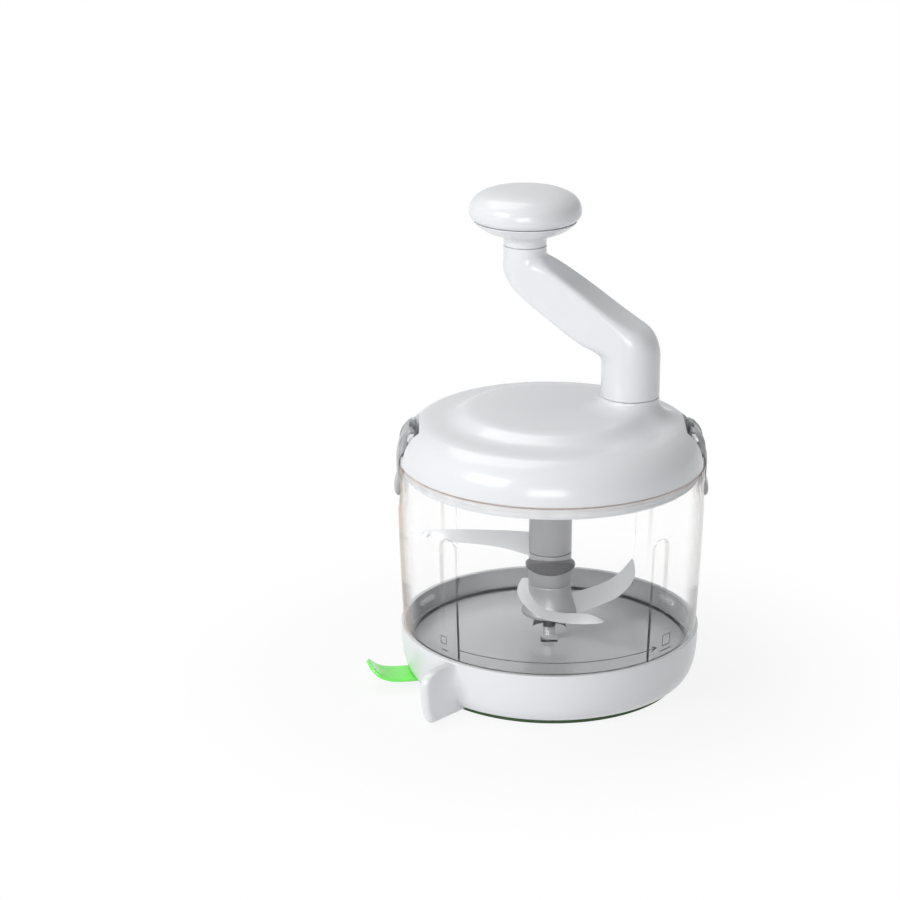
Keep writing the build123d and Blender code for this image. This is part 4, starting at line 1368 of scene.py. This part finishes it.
@dataclass
class BladeColumn:
    """Grey column in three sleeves with a bare oval badge, and the steel blades."""

    shop: Workshop
    radius: float = 10.2
    bore: float = 5.0
    foot_z: float = 31.0
    low_seam: float = 46.2
    high_seam: float = 62.4
    top_z: float = 101.8
    badge_z: float = 56.8
    blade_pitch: float = -15.0
    blade_angle: float = 162.5

    def build(self) -> None:
        """Adds sleeves, badge and blades."""
        r, bore = self.radius, self.bore
        over, beneath = self.high_seam + 0.14, self.high_seam - 0.14
        upper = eased([(bore, 78.0), (bore, over), (r, over), (r, self.top_z), (5.2, self.top_z), (5.2, 90.0),
                       (bore, 90.0)], [0.05, 0.35, 0.6, 0.2, 0.05])
        self._sleeve("hub_upper_sleeve", upper, "hub_upper")
        middle = eased([(bore, 50.0), (bore, self.low_seam + 0.15), (r, self.low_seam + 0.15), (r, beneath),
                        (bore, beneath), (bore, 50.0)], [0.05, 0.35, 0.35, 0.05])[:-1]
        self._sleeve("hub_middle_sleeve", middle, "hub_middle")
        foot = eased([(bore, self.foot_z), (13.4, self.foot_z), (13.4, 32.4)], 0.4)
        flare = through([(13.4, 32.4), (12.2, 34.4), (11.2, 37.4), (10.5, 41.0), (r, self.low_seam - 0.35)], 40)
        lower = chain([(bore, 36.0), (bore, self.foot_z)], foot, flare,
                      [(r - 0.15, self.low_seam), (bore, self.low_seam)])
        self._sleeve("hub_lower_flare", lower, "hub_lower")
        self.badge()
        self.blades()

    def _sleeve(self, name: str, profile: Array, node: str) -> None:
        """Adds one turned sleeve of the column."""
        self.shop.add(name, turned(profile, 144, closed=True), HUB_GREY, "rotor", [node])

    def badge(self) -> None:
        """Adds the bare oval plate and its pale rim.

        Both are ovals of concentric rings laid on a bulging face: the face is an upright cylinder whose
        axis stands behind the column's front, so the plate's middle stands furthest out.
        """
        plate = self._oval(11.3, 3.4, 16.15, 0.4)
        rim = self._oval(11.8, 3.75, 15.85, 0.3)
        self.shop.add("badge_plate", plate, BADGE_GREY, "rotor", ["hub_badge"])
        self.shop.add("badge_rim", rim, BADGE_RIM, "rotor", slot="hub_grey")

    def _oval(self, half_wide: float, half_high: float, face_r: float, edge: float) -> Surface:
        """Closed oval block from the column's inside to the bulging face.

        Args:
            half_wide: half its width.
            half_high: half its height.
            face_r: radius of the bulging face.
            edge: how deep the edge of the face is rounded.

        Returns:
            The block.
        """
        turn = np.linspace(0, 2 * np.pi, 96, endpoint=False)
        share = np.array([1.0, 1.0, 0.985, 0.95, 0.8, 0.55, 0.25])[:, None]
        back = np.array([9.0, edge, edge * 0.3, 0.0, 0.0, 0.0, 0.0])[:, None]
        x = half_wide * share * np.cos(turn)
        z = self.badge_z + half_high * share * np.sin(turn)
        face = 5.0 - np.sqrt(face_r**2 - x**2)
        y = np.minimum(face + back, -2.0)
        return skin(np.stack((x, y, z), axis=-1))

    def blades(self) -> None:
        """Adds the three blades."""
        steel = dict(finish=BLADE_STEEL, body="rotor", sharp=30.0)
        self.shop.add("upper_blade_steel", self.upper(), stands_for=["upper_blade"], **steel)
        side = [((9.6, -6.2, 31.8), (8.0, 5.0, 37.6)), ((17.0, -1.8, 32.0), (14.4, 8.2, 38.2)),
                ((24.6, 3.6, 32.6), (20.4, 11.2, 38.8)), ((32.6, 9.4, 34.0), (27.6, 15.8, 39.9)),
                ((38.9, 17.0, 36.4), (33.8, 21.8, 41.6)), ((42.9, 27.0, 40.6), (39.4, 31.0, 43.6)),
                ((42.5, 34.2, 44.1), (41.6, 35.2, 44.6))]
        front = [((-13.0, 6.5, 45.4), (-8.0, 4.0, 45.6)), ((-15.6, -1.0, 42.4), (-8.6, -0.5, 43.2)),
                 ((-12.8, -9.8, 38.4), (-7.2, -5.4, 40.0)), ((-5.0, -17.2, 34.6), (-3.2, -9.2, 36.6)),
                 ((6.4, -21.4, 33.4), (5.4, -12.4, 34.8)), ((15.4, -28.0, 35.6), (14.6, -18.6, 37.0)),
                 ((22.5, -45.4, 43.4), (23.5, -44.3, 43.7))]
        self.shop.add("side_blade_steel", self.ribbon(side), stands_for=["lower_blade_side"], **steel)
        self.shop.add("front_blade_steel", self.ribbon(front), stands_for=["lower_blade_front"], **steel)

    def ribbon(self, sections: Sequence[tuple[Sequence[float], Sequence[float]]]) -> Surface:
        """Twisted blade.

        A smooth curve runs through the leading points and another through the trailing points. Each
        station between them carries a flat hexagon: thick in the middle, drawn to a fine edge in front
        and to a narrow flat at the back, square to the line and to the chord.

        Args:
            sections: (leading point, trailing point) pairs.

        Returns:
            The blade.
        """
        run = through([(*lead, *trail) for lead, trail in sections], 160)
        lead, trail = run[:, :3], run[:, 3:]
        chord = trail - lead
        along = np.gradient((lead + trail) / 2, axis=0)
        normal = np.cross(along, chord)
        normal /= np.linalg.norm(normal, axis=1, keepdims=True)
        width = np.linalg.norm(chord, axis=1)
        where = np.array([0.0, 0.30, 0.97, 1.0, 0.97, 0.30])
        thick = np.array([0.0, 0.55, 0.55, 0.0, -0.55, -0.55])
        thin = np.clip(width / 5.0, 0.15, 1.0)[:, None, None]
        flat = lead[:, None] + chord[:, None] * where[None, :, None]
        return skin(flat + normal[:, None] * thick[None, :, None] * thin)

    def upper(self) -> Surface:
        """Upper blade: a pitched sickle with a notch before its hooked tip, and its ring on the column.

        At each reach the blade runs from the front curve to the back curve as a flat hexagon, and the
        whole is then pitched about its length.

        Returns:
            The blade, in its place.
        """
        front = through([(6.0, -7.4), (14.0, -4.8), (21.6, -2.9), (35.0, -1.9), (48.0, -2.6), (51.5, -2.6),
                         (54.0, -1.6), (56.6, 0.1), (59.0, 0.5), (60.6, 0.3), (62.0, -1.5), (63.2, -1.2),
                         (65.0, 1.1)], 200)
        back = through([(6.0, 11.0), (12.0, 12.2), (22.0, 11.9), (32.0, 10.6), (44.0, 8.8), (54.6, 6.7),
                        (61.0, 5.0), (64.2, 3.4), (65.4, 1.6)], 200)
        reach = np.linspace(6.2, 64.9, 200)
        low = np.interp(reach, front[:, 0], front[:, 1])
        high = np.interp(reach, back[:, 0], back[:, 1])
        share = np.array([0.0, 0.22, 0.97, 1.0, 0.97, 0.22])
        thick = np.array([0.0, 0.6, 0.6, 0.0, -0.6, -0.6])
        thin = np.clip((high - low) / 4.0, 0.15, 1.0)[:, None]
        plan = low[:, None] + (high - low)[:, None] * share
        rings = np.stack((np.broadcast_to(reach[:, None], plan.shape), -plan, thick * thin), axis=-1)
        c, s = math.cos(math.radians(self.blade_pitch)), math.sin(math.radians(self.blade_pitch))
        arm = skin(rings @ np.array([[1, 0, 0], [0, c, s], [0, -s, c]])).spun(self.blade_angle)
        band = np.array([(5.2, -0.5), (9.2, -0.5), (9.3, 0.0), (9.2, 0.5), (5.2, 0.5)])
        ring = turned(band, 128, closed=True)
        return (arm + ring).moved(0.0, 0.0, self.high_seam)


# Room ---------------------------------------------------------------------------------------


@dataclass
class Studio:
    """Plain pale floor, soft boxes and the camera at the photograph's viewing angle."""

    pitch: float = 18.38
    distance: float = 1225.0
    aim_z: float = 112.6
    aim_x: float = -47.8
    lens: float = 104.0
    sky_light: float = 0.26
    sky_gloss: float = 0.75
    key_watts: float = 14.5
    top_watts: float = 10.0
    front_watts: float = 7.5
    floor_reach: float = 9000.0
    floor_glow: float = 0.87

    def build(self) -> None:
        """Adds floor, world, lamps and camera."""
        bpy.context.scene.view_settings.view_transform = "Standard"
        self.floor()
        self.world()
        self.lamp("key_box", (-1.35, -1.05, 0.95), (0.9, 0.7), self.key_watts)
        self.lamp("top_box", (-0.55, 0.35, 1.6), (1.2, 1.2), self.top_watts)
        self.lamp("front_box", (-0.15, -1.8, 0.42), (0.9, 0.45), self.front_watts)
        self.camera()

    def floor(self) -> None:
        """Adds the floor, a pale sheet that seen directly is white but for the object's shadow."""
        span = (-self.floor_reach, self.floor_reach)
        sheet = bpy.data.objects.new("floor", block(span, span, (-20.0, -0.02)).mesh("floor"))
        bpy.context.scene.collection.objects.link(sheet)
        net = Net("floor_white")
        cloud = net.noise(net.place(), 600.0)
        pale = net.scaled((0.86, 0.86, 0.87), 0.99 + cloud * 0.02)
        matte = net.node("ShaderNodeBsdfDiffuse", inputs={"Color": pale})
        glow = net.node("ShaderNodeEmission", inputs={"Color": (1.0, 1.0, 1.0, 1.0), "Strength": 1.0})
        away = net.node("ShaderNodeVectorMath", {"operation": "LENGTH"}, {0: net.place()}, 1)
        share = self.floor_glow + away.clear_of(0.085, 0.20) * (1 - self.floor_glow)
        net.close(net.node("ShaderNodeMixShader", inputs={0: self.seen(net) * share, 1: matte, 2: glow}))
        sheet.data.materials.append(net.material)

    @staticmethod
    def seen(net: Net) -> Wire:
        """Tells the rays that show the floor as it is seen from those that light the object.

        Args:
            net: the floor's nodes.

        Returns:
            1 for rays from the camera, in gloss and through clear walls, else 0.
        """
        path = net.tree.nodes.new("ShaderNodeLightPath")
        camera, gloss, clear = (Wire(net, path.outputs[name])
                                for name in ("Is Camera Ray", "Is Glossy Ray", "Is Transmission Ray"))
        return (camera + gloss + clear).apply("MINIMUM", 1.0)

    def world(self) -> None:
        """Sets a soft even sky: white where it is seen, bright in gloss, low as a light."""
        sky = bpy.data.worlds.new("studio")
        bpy.context.scene.world = sky
        sky.use_nodes = True
        tree = sky.node_tree
        tree.nodes.clear()
        path = tree.nodes.new("ShaderNodeLightPath")
        below = None
        levels = [(None, self.sky_light), ("Is Glossy Ray", self.sky_gloss), ("Is Transmission Ray", 1.0),
                  ("Is Camera Ray", 1.0)]
        for ray, strength in levels:
            level = tree.nodes.new("ShaderNodeBackground")
            level.inputs["Color"].default_value = (0.97, 0.985, 1.0, 1.0) if strength < 1.0 else (1.0,) * 4
            level.inputs["Strength"].default_value = strength
            if below is None:
                below = level
                continue
            mix = tree.nodes.new("ShaderNodeMixShader")
            tree.links.new(path.outputs[ray], mix.inputs[0])
            tree.links.new(below.outputs[0], mix.inputs[1])
            tree.links.new(level.outputs[0], mix.inputs[2])
            below = mix
        end = tree.nodes.new("ShaderNodeOutputWorld")
        tree.links.new(below.outputs[0], end.inputs[0])

    @staticmethod
    def lamp(name: str, spot: Sequence[float], size: Point, watts: float) -> None:
        """Adds a soft box that faces the object.

        Args:
            name: the lamp's name.
            spot: where it stands, in metres.
            size: its two sides, in metres.
            watts: its power.
        """
        data = bpy.data.lights.new(name, "AREA")
        data.shape, data.size, data.size_y, data.energy = "RECTANGLE", size[0], size[1], watts
        lamp = bpy.data.objects.new(name, data)
        bpy.context.scene.collection.objects.link(lamp)
        place = Vector(spot)
        turn = (Vector((0.0, 0.0, 0.11)) - place).to_track_quat("-Z", "Y")
        lamp.matrix_world = Matrix.Translation(place) @ turn.to_matrix().to_4x4()

    def camera(self) -> None:
        """Adds the camera, pitched down and set off to the left of the object."""
        pitch = math.radians(self.pitch)
        data = bpy.data.cameras.new("camera")
        data.lens, data.sensor_width = self.lens, 36.0
        data.clip_end = 60.0
        eye = bpy.data.objects.new("camera", data)
        bpy.context.scene.collection.objects.link(eye)
        back, rise = self.distance * math.cos(pitch), self.distance * math.sin(pitch)
        eye.location = (self.aim_x * MM, -back * MM, (self.aim_z + rise) * MM)
        eye.rotation_euler = (math.pi / 2 - pitch, 0.0, 0.0)
        bpy.context.scene.camera = eye


def main() -> None:
    logging.basicConfig(level=logging.INFO, format="%(name)s: %(message)s")
    paints = Paintbox()
    log.info("dressed %d nodes", paints.dress_frame())
    shop = Workshop(paints)
    latches = [Latch(shop, side) for side in Side]
    assemblies = [Base(shop), Lever(shop), Bowl(shop), Lid(shop), *latches, BladeColumn(shop), CrankArm(shop),
                  Knob(shop)]
    for assembly in assemblies:
        assembly.build()
    Studio().build()


if __name__ == "__main__":
    main()
